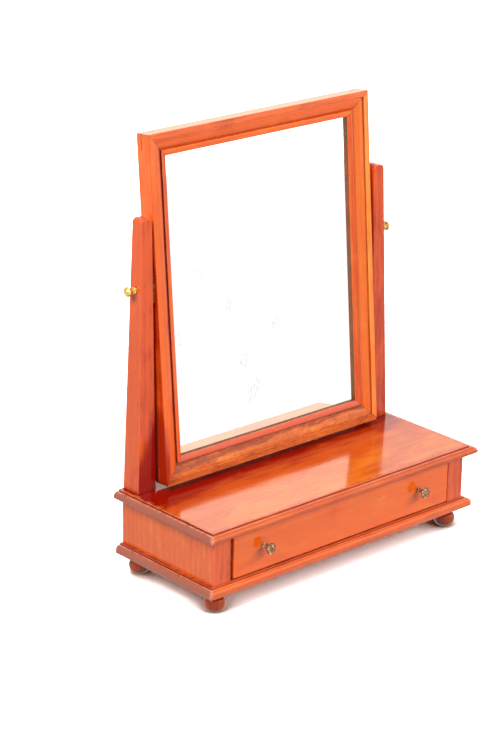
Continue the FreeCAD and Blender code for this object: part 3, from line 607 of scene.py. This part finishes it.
lining = {"deep": (0.46, 0.24, 0.10), "middle": (0.66, 0.36, 0.16), "light": (0.78, 0.48, 0.25),
          "pale": (0.75, 0.58, 0.38), "dirt": (0.16, 0.09, 0.05), "dull": 0.5, "relief": 0.3,
          "figure": 0.5}
lining_wood = wood("drawer_lining_wood", **lining)
lining_along = {axis: wood("drawer_lining_wood_" + axis, along=axis, **lining) for axis in "xyz"}
bright_brass = metal("bright_brass", (0.93, 0.64, 0.20), (0.45, 0.22, 0.04), 0.20, 0.14)
aged_brass = metal("aged_brass", (0.80, 0.52, 0.31), (0.26, 0.11, 0.06), 0.28, 0.16)
screw_steel = metal("screw_steel", (0.45, 0.44, 0.42), (0.16, 0.12, 0.09), 0.35, 0.35)
looking_glass = silvered_glass()


# ---------------- mirror frame
fillet_width, fillet_step = 8.0, 3.0
band_width, band_depth, quirk_width, quirk_depth = 19.8, 5.3, 24.3, 8.3
sight_width, sight_depth, rebate_width, rebate_depth = 32.0, 8.4, 26.0, 13.0
corner_rub = 3.5


def frame_moulding(tones, quirk_dark, step_shade, arris):
    """The moulding's outline as (inwards, back), both in millimetres, with its arrises eased.

    The tones are of its outer side, fillet, band beside the quirk, rest of the band, and slip; the band's tone
    beside the quirk is painted shade on its slope into the quirk. The quirk is darkened, spilling 1 mm over the
    band, and the step's wall is darkened as painted shade. The sight face by the glass comes back marked as
    painted shade in the recess by the glass.
    """
    corners = [(0.0, frame_thickness, 0.5), (0.0, 0.0, arris), (fillet_width, 0.0, 0.8),
               (fillet_width, fillet_step, 0.35, 0.7), (band_width, band_depth, 3.0),
               (quirk_width - 1.5, quirk_depth - 0.4, 0.3), (quirk_width, quirk_depth, 0.3),
               (quirk_width, 6.1, 0.6, 0.5), (sight_width, sight_depth, 0.7),
               (sight_width, rebate_depth, 0.2), (rebate_width, rebate_depth, 0.2),
               (rebate_width, frame_thickness, 0.4)]
    outline, worn, grimy = rounded_outline(corners, 3.0)
    inwards, back = outline.T
    spill = 1.0 if quirk_dark > 0.7 else 0.0
    outer_arris = (inwards < 2.0) & (back < 2.0)
    step_arris = inside(inwards, fillet_width - 1, fillet_width + 1) & (back < 1.0)
    # The step's wall is darkened as painted shade; the quirk's groove is darkened.
    step_wall = inside(inwards, fillet_width - 0.4, fillet_width + 0.8) & inside(back, 0.9, fillet_step + 1)
    groove = inside(inwards, 22.6 - spill, quirk_width + 0.05) & inside(back, 6.3, 9.0)
    # The sight face by the glass is marked for painted shade in the recess by the glass.
    sight_face_shade = (inwards > sight_width - 0.4) & (back > 9.2)
    grimy = np.where(outer_arris, worn * 0.6, grimy)
    worn = np.where(outer_arris | (back > 20.0) | (inwards < 22.0) & ~step_arris, 0.0, worn * 0.5)
    grimy = np.select([groove, step_wall], [quirk_dark, step_shade], grimy * 0.7)
    outer, fillet, shade_beside_quirk, band, slip = tones
    # The band's tone beside the quirk is painted shade on its slope into the quirk.
    tone = np.select([inwards < 0.5, inwards < fillet_width + 0.2, inwards > quirk_width, back > 9.0],
                     [outer, fillet, slip, 0.0], band + (shade_beside_quirk - band) * ramp(inwards - 9.0, 12.0))
    return outline, worn, grimy, tone, sight_face_shade * 1.0


def rub_corners(x, z):
    """The frame's two lower corners, rubbed round."""
    across = np.clip(np.abs(x) - frame_width / 2 + corner_rub, 0, None)
    down = np.clip(corner_rub - z, 0, None)
    pull = corner_pull(across, down)
    return x + np.sign(x) * across * pull, z - down * pull


def frame_member(node, number, finish, tones, quirk_dark, step_shade):
    """One mitred length of the moulding.

    A point (u, v) of the outline at a share t of the length lies at (t (L - 2u) + u - L/2, v, u), so both
    ends run in at 45 degrees, darkened by glue and dirt. On the bottom rail darker heartwood narrows along
    the band, in waves, and the lower face hangs a little. The left stile is painted darker downwards, most on
    its outer side, as painted shade beside the upright. Round its let-in pivot plate a stile's outer side lies a
    little below the brass.
    """
    hang_down, heartwood_tone, left_foot_shade, left_side_shade = 1.1, 0.42, 0.6, 0.5
    side = node.split("_")[1]
    length = frame_width if side in ("bottom", "top") else frame_height
    arris = 0.35 if side == "bottom" else 0.9
    outline, worn, grimy, tone, second = frame_moulding(tones, quirk_dark, step_shade, arris)
    inwards, back = outline.T
    seam_share = seam_width / length
    near = seam_share * np.array([0.0, 1.0, 2.0, 3.5, 5.0, 7.0])
    inner = spread(0, 1, 2.6 / length)
    shares = np.concatenate([near, inner[inside(inner, 8 * seam_share, 1 - 8 * seam_share)], 1 - near[::-1]])
    seam = np.where(inside(shares, seam_share / 2, 1 - seam_share / 2), 0.0, 0.9)
    points = np.stack([np.stack([t * (length - 2 * inwards) + inwards - length / 2, back, inwards], 1)
                       for t in shares])
    grimy = np.maximum(grimy[None], seam[:, None])
    along = points[..., 0]
    tone = np.broadcast_to(tone, along.shape).copy()
    if side == "bottom":
        points[..., 2] -= hang_down * np.clip(1.4 - back / 30, 0, 1) * (inwards < 0.9)
        worn = worn * 0.2
        wave = 1.1 * np.sin(along / 17) + 0.7 * np.sin(along / 7.3 + 1.0)
        boundary = 10.0 + 9.0 * ramp(along + length / 2, 220) + wave
        band = inside(inwards, fillet_width + 0.2, quirk_width - 0.8)
        tone = tone - heartwood_tone * band * np.clip((inwards - boundary) / 1.5 + 0.5, 0, 1)
        # On the bottom rail the sight face's painted shade is darkened towards the dirt and shade colour.
        grimy = np.maximum(grimy, second)
        second = inside(inwards, quirk_width, sight_width - 0.3) & (back < 9.2)
    if side == "left":
        # Painted shade: the left stile is deeper towards its foot, and on its outer side below the upright's
        # crown, beside the upright.
        foot_end = ramp(along - length / 2 + 110, 90) ** 1.5
        tone = tone - left_foot_shade * foot_end * np.where(inwards < 0.6, 1.0, np.clip(1.2 - inwards / 10, 0, 1))
        tone = tone - left_side_shade * (inwards < 0.6) * ramp(along - length / 2 + 335, 60)
    if side in ("left", "right"):
        rise = frame_height / 2 + along * (1 if side == "right" else -1)
        beside_plate = (np.abs(back - frame_thickness / 2) < plate_width / 2 + 3.0) & (inwards < 0.5)
        near_plate = ramp(plate_length / 2 + 3.0 - np.abs(rise - pivot_above_frame), 1)
        points[..., 2] += plate_proud * near_plate * beside_plate
    run = patch(points, worn[None], grimy, tone, second, closed=True)
    half = frame_width / 2

    def placed(points):
        x, y, z = points.T
        x, z = {"bottom": (x, z), "top": (-x, frame_height - z), "left": (-half + z, frame_height / 2 - x),
                "right": (half - z, frame_height / 2 + x)}[side]
        x, z = rub_corners(x, z)
        return hang(np.stack([x, y, z], 1))

    piece("polished_" + node, "mirror", node, [run], finish, ("x", number), 4, placed)


def corner_keys():
    """Feather keys: a three-cornered slip, (0, 0) to (leg, 0) and (0, leg), let into each mitre."""
    leg, front, thickness, proud = 21.0, 14.0, 2.0, 0.06
    outline, _, _ = rounded_outline([(-proud, -proud, 0.2), (leg, -proud, 0.1), (-proud, leg, 0.1)], 4.0, 2)
    patches = []
    for side in (-1, 1):
        for base, up in ((0.0, 1), (frame_height, -1)):
            x, z = rub_corners(side * (frame_width / 2 - outline[:, 0]), base + up * outline[:, 1])
            flat = [np.stack([x, np.full(len(x), y), z], 1) for y in np.linspace(front, front + thickness, 3)]
            patches.append(patch(np.stack(flat), 0.0, 0.2, closed=True))
    piece("feather_keys", "mirror", "frame_corner_keys", patches, key_wood, ("x", 20), 0, hang)


# ---------------- boards with moulded edges
def board_edge(thickness, nose, quirk):
    """A moulded edge as (inset from the outermost, height): underside, nose, ledge and step to the top."""
    step, under, ease = 1.9, 1.8, 0.5
    rise = thickness - step
    ledge = nose + quirk

    def arc(inset, height, radius, start, count):
        turn = np.radians(np.linspace(start, start + 90, count))
        return np.stack([inset - radius * np.cos(turn), height + radius * np.sin(turn)], 1)

    run = np.concatenate([
        [(14.0, 0.0), (under + 0.6, 0.0)], arc(under, under, under, -90, 6),
        arc(nose, rise - nose, nose, 0, 12), [(ledge - 0.5, rise - 0.25), (ledge, rise)],
        arc(ledge + ease, thickness - ease, ease, 0, 5),
        [(ledge + ease + 0.8, thickness), (ledge + ease + 2.4, thickness)]])
    nose_start, last = 8, len(run) - 2
    worn = np.zeros(len(run))
    worn[nose_start + 9:nose_start + 12] = 0.6
    worn[last - 4:last - 1] = 0.9
    grimy = np.zeros(len(run))
    grimy[nose_start + 12:nose_start + 15] = 1.0
    grimy[2:7] = 0.35
    return run, worn, grimy


def moulded_board(node, thickness, nose, quirk, number, finish, ledge_shade, upper_painted_shade=None):
    """A board whose outermost edge is (left, right, front); the same edge is drawn in by its inset.

    The function given for the upper face gives its painted shade beneath the frame and its tone, which is painted
    shade behind and painted light in front. The ends' nosing is end grain, in the second colour.
    """
    corner, far = low(node), high(node)
    run, worn, grimy = board_edge(thickness, nose, quirk)
    step, waviness = 5.0, 0.03
    deep_steps, wide_steps = [int(round((far[axis] - corner[axis]) / step)) for axis in (1, 0)]

    def lines(inset):
        return (np.linspace(far[1], corner[1] + inset, deep_steps + 1),
                np.linspace(corner[0] + inset, far[0] - inset, wide_steps + 1))

    def ring(inset, height):
        deep, across = lines(inset)
        round_it = np.concatenate([np.stack([np.full(len(deep), corner[0] + inset), deep], 1),
                                   np.stack([across, np.full(len(across), corner[1] + inset)], 1)[1:-1],
                                   np.stack([np.full(len(deep), far[0] - inset), deep[::-1]], 1)])
        return np.column_stack([round_it, np.full(len(round_it), corner[2] + height)])

    rings = np.stack([ring(inset, height) for inset, height in run])
    column = np.arange(rings.shape[1])
    corners = [deep_steps, deep_steps + wide_steps]
    end_grain = (column < corners[0]) | (column > corners[1])
    nosing = (run[:, 0] < nose) & (run[:, 1] < thickness - 1.0)
    mitre = 0.7 * np.isin(column, corners) * nosing[:, None]
    edge_worn = np.maximum(worn[:, None] * np.where(end_grain, 1.0, 0.55)[None], mitre)
    # On the plinth the top strip of the edge, beside the case, is darkened as painted shade where the case stands.
    strip = np.zeros(len(run))
    strip[-7:] = ledge_shade
    edge_soil_and_shade = np.maximum(grimy, strip)[:, None] * np.where(end_grain, 0.85, 0.6)[None]
    dull_ends = 0.95 * end_grain[None] * nosing[:, None]
    patches = [patch(rings, edge_worn, edge_soil_and_shade, 0.0, dull_ends)]
    for inset, height in (run[0], run[-1]):
        upper = height > thickness / 2
        deep, across = lines(inset)
        flat = np.stack(np.broadcast_arrays(across[None], deep[:, None], corner[2] + height), -1)
        wave = waviness * np.sin(flat[..., 0] / 17 + flat[..., 1] / 29) * np.sin(flat[..., 1] / 21 - 1.0)
        border = np.zeros(flat.shape[:2])
        border[1:-1, 1:-1] = 1.0
        flat[..., 2] += wave * border * upper
        # The upper face takes painted shade beneath the frame, and a tone of painted shade behind and painted
        # light in front.
        shade_beneath_frame, shade = upper_painted_shade(flat) if upper and upper_painted_shade is not None else (0.0, 0.0)
        patches.append(patch(flat, 0.0, shade_beneath_frame, shade))
    piece("polished_" + node, "base", node, patches, finish, ("x", number), 18)


def under_mirror(points):
    """Painted shade beneath the frame's lower edge, and painted shade that deepens the further back the board
    lies.

    The painted shade starts 62 mm before the frame at its left end and 36 mm before it at its right end.
    The board's front is painted a little paler, as painted light.
    """
    fade, later, beneath_shade, front_tone, back_shade = 62, 26, 0.85, 0.22, 0.7
    front = pivot[1] - frame_thickness / 2 - pivot_above_frame * math.sin(frame_lean)
    x, y = points[..., 0], points[..., 1]
    # Painted shade beneath the frame's edge and deepening towards the back; the front is painted paler as painted
    # light.
    beneath = beneath_shade * ramp(y - front + 1.0, 3.0) * (np.abs(x) < frame_width / 2 + 3)
    inboard = ramp(x + frame_width / 2, frame_width)
    depth = ramp(y - front + fade - later * inboard + 5 * np.sin(x / 31 + 2.0), fade)
    lit_front = ramp(front - 25 - y, 60)
    return beneath, front_tone * lit_front - back_shade * depth ** 1.3


# ---------------- uprights
def upright(node, side, number):
    """A post: a straight block drawn in upwards on three faces, with the crown's two corners rounded.

    The foot of the left one is painted deeper on its front and inner faces, as painted shade.
    """
    base_z, crown_z = board_top, high(node)[2]
    inner = abs(high(node)[0]) if side < 0 else low(node)[0]
    height = crown_z - base_z
    width, depth = upright_base
    rear = case_back - 0.6
    around = np.linspace(0.0, 1.0, 9)[1:]
    near_crown = crown_z - upright_crown_round * around
    widen = width / upright_crown[0] * upright_crown_round
    extra = (np.concatenate([inner + widen * around, inner + width - widen * around]), (), near_crown)

    def tone_and_painted_shade(face, points):
        rise = points[..., 2] - base_z
        across = (points[..., 0] - inner) / width
        # Painted shade: on the left post the front and inner faces deepen towards the foot, where the frame's
        # lower corner shades them. The front and inner faces of both posts are also set a little deeper than the
        # others.
        shaded = ramp(126 - 70 * across - rise, 72) * (side < 0)
        front_tone = -0.1 if side < 0 else -0.2
        return {(1, 0): front_tone - 0.8 * shaded, (0, 0): -0.1 - 0.7 * shaded}.get(face, 0.0)

    patches = eased_block((inner, rear - depth, base_z), (inner + width, rear, crown_z), 1.0, less_worn,
                          tone_and_painted_shade, extra)
    for part in patches:
        x, y, z = part["points"].T
        share = (z - base_z) / height
        narrow = upright_crown[0] / width * share + 1 - share
        x = (x - inner) * narrow
        y = rear - upright_back_taper * share - (rear - y) * (upright_crown[1] / depth * share + 1 - share)
        middle = width * narrow / 2
        corner_x = np.clip(np.abs(x - middle) - middle + upright_crown_round, 0, None)
        corner_z = np.clip(z - crown_z + upright_crown_round, 0, None)
        pull = corner_pull(corner_x, corner_z)
        x = x + np.sign(x - middle) * corner_x * pull
        z = z + corner_z * pull
        part["points"] = np.stack([side * (inner + x), y, z], 1)
        part["grimy"] = 0.8 * np.exp(-(z - base_z) / 1.5)
    piece("polished_" + node, "base", node, patches, post_wood, ("z", number), 4)


# ---------------- turned work
def foot(node, number):
    """A flattened bun, whose two quarter ellipses meet at the belly, a cove and a collar."""
    middle = (low(node) + high(node)) / 2
    centre = np.array([middle[0], middle[1], 0.0])
    bun_top, cove_top, shade_from = 19.3, 24.2, 17.0
    outline = np.concatenate([
        [(0.0, 0.0), (foot_tread - 0.6, 0.0)],
        quarter((foot_tread, 0.0), (foot_radius, foot_belly), 14),
        quarter((foot_neck + 0.6, bun_top), (foot_radius, foot_belly), 12)[::-1][1:],
        [(foot_neck + 0.5, bun_top + 0.5), (foot_neck, bun_top + 0.6)],
        bent((foot_neck, bun_top + 0.6), (foot_neck + 0.4, cove_top), 0.7, 6)[1:],
        [(foot_collar - 0.5, cove_top + 0.1), (foot_collar - 0.1, cove_top + 0.5),
         (foot_collar, cove_top + 1.0), (foot_collar, foot_height - 0.6),
         (foot_collar - 0.4, foot_height), (0.0, foot_height)]])
    skin = turned(centre, (0, 0, 1), outline, 56)
    # Painted shadow: the neck and collar under the plinth are darkened from 17 mm up.
    skin["grimy"] = ramp(skin["points"][:, 2] - shade_from, 3.0) * 0.8
    piece("polished_" + node, "base", node, [skin], foot_wood, ("z", number))


def drawer_knob(node):
    """A mushroom knob: flange, cove, bead, flared throat, and a head with a ring round a shallow dome."""
    middle = (low(node) + high(node)) / 2
    centre = np.array([middle[0], low("drawer_front")[1], middle[2]])
    rim = knob_radius
    outline = np.concatenate([
        [(2.0, -18.0), (2.0, -0.3), (4.7, -0.3), (4.8, 0.2), (4.8, 1.0), (4.4, 1.4)],
        bent((4.2, 1.5), (2.7, 3.6), 0.7)[1:], bent((2.8, 3.7), (2.8, 6.2), -1.0)[1:],
        bent((2.7, 6.3), (rim - 0.4, 12.2), 1.3, 9)[1:],
        [(rim - 0.1, 12.5), (rim, 12.9), (rim, 13.3), (rim - 0.2, 13.7), (rim - 0.7, 13.9), (rim - 1.2, 13.8),
         (rim - 1.5, 13.5), (rim - 1.7, 13.55)],
        bent((rim - 1.8, 13.6), (0.0, knob_projection), -0.8, 9)[1:]])
    piece("cast_" + node, "drawer", node, [turned(centre, (0, -1, 0), outline)], aged_brass, ("y", 0))


def thumb_screw(node, side):
    """A pivot screw, a body of its own: threaded end, shank, ball collar, waist, and a crowned head."""
    tip = high(node)[0] if side > 0 else -low(node)[0]
    start = min(abs(low(node)[0]), abs(high(node)[0])) - (tip - thumb_projection)
    seat = np.array([side * (tip - thumb_projection), pivot[1], pivot[2]])
    thread_end, thread_radius, thread_depth, thread_pitch = start + 11.0, 2.42, 0.13, 0.9
    along = np.linspace(start + 0.8, thread_end, 58)
    thread = np.stack([thread_radius + thread_depth * np.sin(along * 2 * math.pi / thread_pitch), along], 1)
    outline = np.concatenate([
        [(0.0, start), (1.7, start)], thread, [(3.0, thread_end + 0.2), (3.0, 0.2), (4.6, 0.3)],
        bent((4.7, 0.3), (4.1, 4.6), -0.75, 9), bent((3.5, 4.9), (3.4, 8.0), 0.35, 6),
        bent((3.4, 8.1), (thumb_radius - 0.9, 12.1), 0.5, 6)[1:],
        bent((thumb_radius - 0.8, 12.1), (thumb_radius - 0.8, 15.1), -0.8, 9)[1:],
        bent((thumb_radius - 0.9, 15.2), (0.0, thumb_projection), -0.7, 9)[1:]])
    piece("cast_" + node, node, node, [turned(seat, (side, 0, 0), outline)], bright_brass, ("x", 0))


# ---------------- case and drawer front
def case_part(name, node, grain, finish, ease, front_tone=0.0):
    """A plain board of the case, with eased edges."""
    patches = eased_block(low(node), high(node), ease, less_worn, lambda face, _: front_tone * (face[0] == 1))
    piece(name, "base", node, patches, finish, grain)


def wedge(across, front, back, front_heights, back_heights):
    """A block with slanting ends: z runs between its two heights, which go straight from front to back."""
    levels = ((front, front_heights), (back, back_heights))
    corner = np.array([[[(x, y, z) for z in heights] for y, heights in levels] for x in across], float)
    sides = [corner[0], corner[1], corner[:, 0], corner[:, 1], corner[:, :, 0], corner[:, :, 1]]
    return [patch(side, second=1.0) for side in sides]


def drawer_front():
    """The front with lapped dovetails: a full-width lap, a narrower back, and pins between the tails."""
    tails, root_share, flare, bottom_margin, clearance = 3, 0.63, 0.8, 1.6, 0.02
    corner, far = low("drawer_front"), high("drawer_front")
    lap = corner[1] + drawer_lap
    patches = eased_block(corner, (far[0], lap, far[2]), wood_ease)
    inner = eased_block((corner[0] + drawer_side_thickness, lap - 1.0, corner[2]),
                        (far[0] - drawer_side_thickness, far[1], far[2]), 0.4)
    for part in inner:
        part["second"] = np.ones(len(part["points"]))
    patches += inner
    first, top = low("drawer_left_side")[2] + bottom_margin, high("drawer_left_side")[2]
    pitch = (top - first) / tails
    middles = first + pitch * (np.arange(tails) + 0.5)
    root = root_share * pitch / 2
    for within, outer in ((corner[0] + drawer_side_thickness + 0.3, corner[0]),
                          (far[0] - drawer_side_thickness - 0.3, far[0])):
        for index in range(tails + 1):
            heights = [(middles[index - 1] + rise if index > 0 else corner[2] + clearance,
                        middles[index] - rise if index < tails else far[2] - clearance)
                       for rise in (root + flare, root)]
            patches += wedge((outer, within), lap - 0.3, far[1] - clearance, *heights)
    piece("polished_drawer_front", "drawer", "drawer_front", patches, front_wood, ("x", 13), 9)


# ---------------- build everything
frame_member("frame_bottom_rail", 1, figured_wood, (0.0, -0.12, 0.0, 0.02, 0.0), 0.7, 0.3)
# The top rail's outer side, its top, is set much lighter (0.5) as painted light falling from above.
frame_member("frame_top_rail", 2, frame_wood, (0.5, -0.17, -0.15, -0.04, 0.1), 0.35, 0.6)
frame_member("frame_left_stile", 3, frame_wood, (0.1, 0.0, -0.3, 0.2, -0.12), 0.85, 0.75)
frame_member("frame_right_stile", 4, orange_wood, (0.1, 0.27, -0.05, 0.0, -0.3), 0.25, 0.7)
corner_keys()

moulded_board("top_board", 10.8, 6.0, 2.6, 5, board_wood, 0.0, under_mirror)
moulded_board("plinth_board", 13.5, 5.5, 1.5, 6, plinth_wood, 0.85)
upright("left_upright", -1, 7)
upright("right_upright", 1, 8)

case_part("polished_left_side", "left_side_panel", ("z", 9), panel_wood, 0.5)
case_part("polished_right_side", "right_side_panel", ("z", 10), panel_wood, 0.5)
case_part("polished_left_stile", "left_front_stile", ("z", 11), red_wood, 0.6, -0.12)
case_part("polished_right_stile", "right_front_stile", ("z", 12), red_wood, 0.6, -0.25)
case_part("planed_case_back", "case_back_board", ("x", 14), lining_wood, 0.4)
drawer_front()
for number, node in enumerate(("front_left_foot", "front_right_foot", "back_left_foot", "back_right_foot")):
    foot(node, 30 + number)
for node in ("left_drawer_knob", "right_drawer_knob"):
    drawer_knob(node)
for node, side in (("left_pivot_screw", -1), ("right_pivot_screw", 1)):
    thumb_screw(node, side)

# ---------------- solids that keep their shape
lining_grain = {"drawer_left_side": "y", "drawer_right_side": "y", "left_drawer_guide": "y",
                "right_drawer_guide": "y", "mirror_backboard": "z"}
kept_finish = {"polished_wood": red_wood, "brass": bright_brass, "aged_brass": aged_brass,
               "steel": screw_steel, "silvered_glass": looking_glass}
for node, thing in frame["nodes"].items():
    slot_name = next(s["material_slot"] for s in frame["record"]["subparts"] if s["node"] == node)
    thing.data.materials.clear()
    thing.data.materials.append(kept_finish.get(slot_name, lining_along[lining_grain.get(node, "x")]))

# ---------------- floor, light and camera
floor_mesh = bpy.data.meshes.new("floor")
reach = 6.0
floor_mesh.from_pydata([(x * reach, y * reach, 0) for x, y in ((-1, -1), (1, -1), (1, 1), (-1, 1))], [],
                       [(0, 1, 2, 3)])
linked("floor", floor_mesh)


def sight_rays(tree):
    """1 for rays from the camera, and 1 for rays that polish, metal and glass send on; else 0."""
    path = add(tree, "LightPath", {})
    sent_on = Signal(path, "Is Glossy Ray").maths("MAXIMUM", Signal(path, "Is Transmission Ray"))
    return Signal(path, "Is Camera Ray"), sent_on


def white_floor():
    """Paper that is white to the camera and in reflections, but lights the object only a little.

    It is shaded where something is close above it, and glows from where the lamps fall off.
    """
    plain, seen_extra, reflected_glow = 0.42, 1.6, 1.06
    white, close_shade, shade_reach = (1, 1, 1, 1), (0.21, 0.14, 0.10, 1), 0.04
    made, tree, shader = material("white_paper", Roughness=0.9, Specular_IOR_Level=0.0)
    direct, reflected = sight_rays(tree)
    brightness = (direct * seen_extra + plain) * reflected.maths("LESS_THAN", 0.5)
    nearby = add(tree, "AmbientOcclusion", {"Distance": shade_reach}, samples=16)
    shaded = blend(between(Signal(nearby, "AO"), 0.30, 0.66), close_shade, white)
    distance = Signal(add(tree, "VectorMath", {0: object_place(tree)}, operation="LENGTH"), "Value")
    feed(shader, {"Base Color": blend(1.0, shaded, brightness, "MULTIPLY"), "Emission Color": white,
                  "Emission Strength": reflected * reflected_glow + direct * between(distance, 0.45, 1.3)})
    return made


floor_mesh.materials.append(white_floor())

# The sky is white to the camera and in reflections, and gives the object only a low light.
world = bpy.data.worlds.new("studio")
bpy.context.scene.world = world
world.use_nodes = True
sky_level = 0.14
direct, reflected = sight_rays(world.node_tree)
feed(world.node_tree.nodes["Background"],
     {"Strength": direct.maths("MAXIMUM", reflected) * (1.0 - sky_level) + sky_level, "Color": (1, 1, 1, 1)})


def lamp_from(name, place, aim_height, power, size, **settings):
    """A lamp that faces a point on the upright through the middle of the box."""
    lamp = bpy.data.lights.new(name, "AREA")
    lamp.energy = power
    lamp.size = size
    for key, value in settings.items():
        setattr(lamp, key, value)
    thing = linked(name, lamp)
    thing.location = place
    thing.rotation_euler = (Vector(place) - Vector((0, 0, aim_height))).to_track_quat("Z", "Y").to_euler()
    return thing


key = lamp_from("key_light", (1.3, -2.2, 1.55), 0.15, 82.0, 3.2, shape="RECTANGLE", size_y=0.45)
lamp_from("side_light", (-1.75, -0.35, 1.6), 0.1, 47.0, 1.0)
back_light = lamp_from("back_light", (0.4, 2.1, 1.3), 0.2, 24.0, 1.2)
key.visible_glossy = back_light.visible_glossy = False
for name, place, power, size in (("front_glow", (1.75, -1.85, 0.95), 14.0, 1.8),
                                 ("back_glow", (1.75, 1.9, 1.15), 6.0, 1.6)):
    glow = lamp_from(name, place, 0.1, power, size, color=(1.0, 0.86, 0.66))
    glow.visible_diffuse = False

# The camera stands to the left of the front, well above the mirror, and looks down at it.
camera_place = (-2.0442, -2.1568, 1.3486)
azimuth, elevation, roll = np.radians((-42.253, 20.44, 0.987))
back = np.array([math.sin(azimuth) * math.cos(elevation), -math.cos(azimuth) * math.cos(elevation),
                 math.sin(elevation)])
level = np.cross(-back, (0, 0, 1))
level /= np.linalg.norm(level)
upward = np.cross(level, -back)
right = math.cos(roll) * level + math.sin(roll) * upward
upward = math.cos(roll) * upward - math.sin(roll) * level
view = bpy.data.cameras.new("camera")
view.sensor_fit = "VERTICAL"
view.sensor_height = 36.0
view.lens = 115.2
camera = linked("camera", view)
rows = [(*row, place) for row, place in zip(np.stack([right, upward, back], 1), camera_place)]
camera.matrix_world = Matrix([*rows, (0, 0, 0, 1)])
bpy.context.scene.camera = camera
bpy.context.scene.view_settings.view_transform = "Standard"
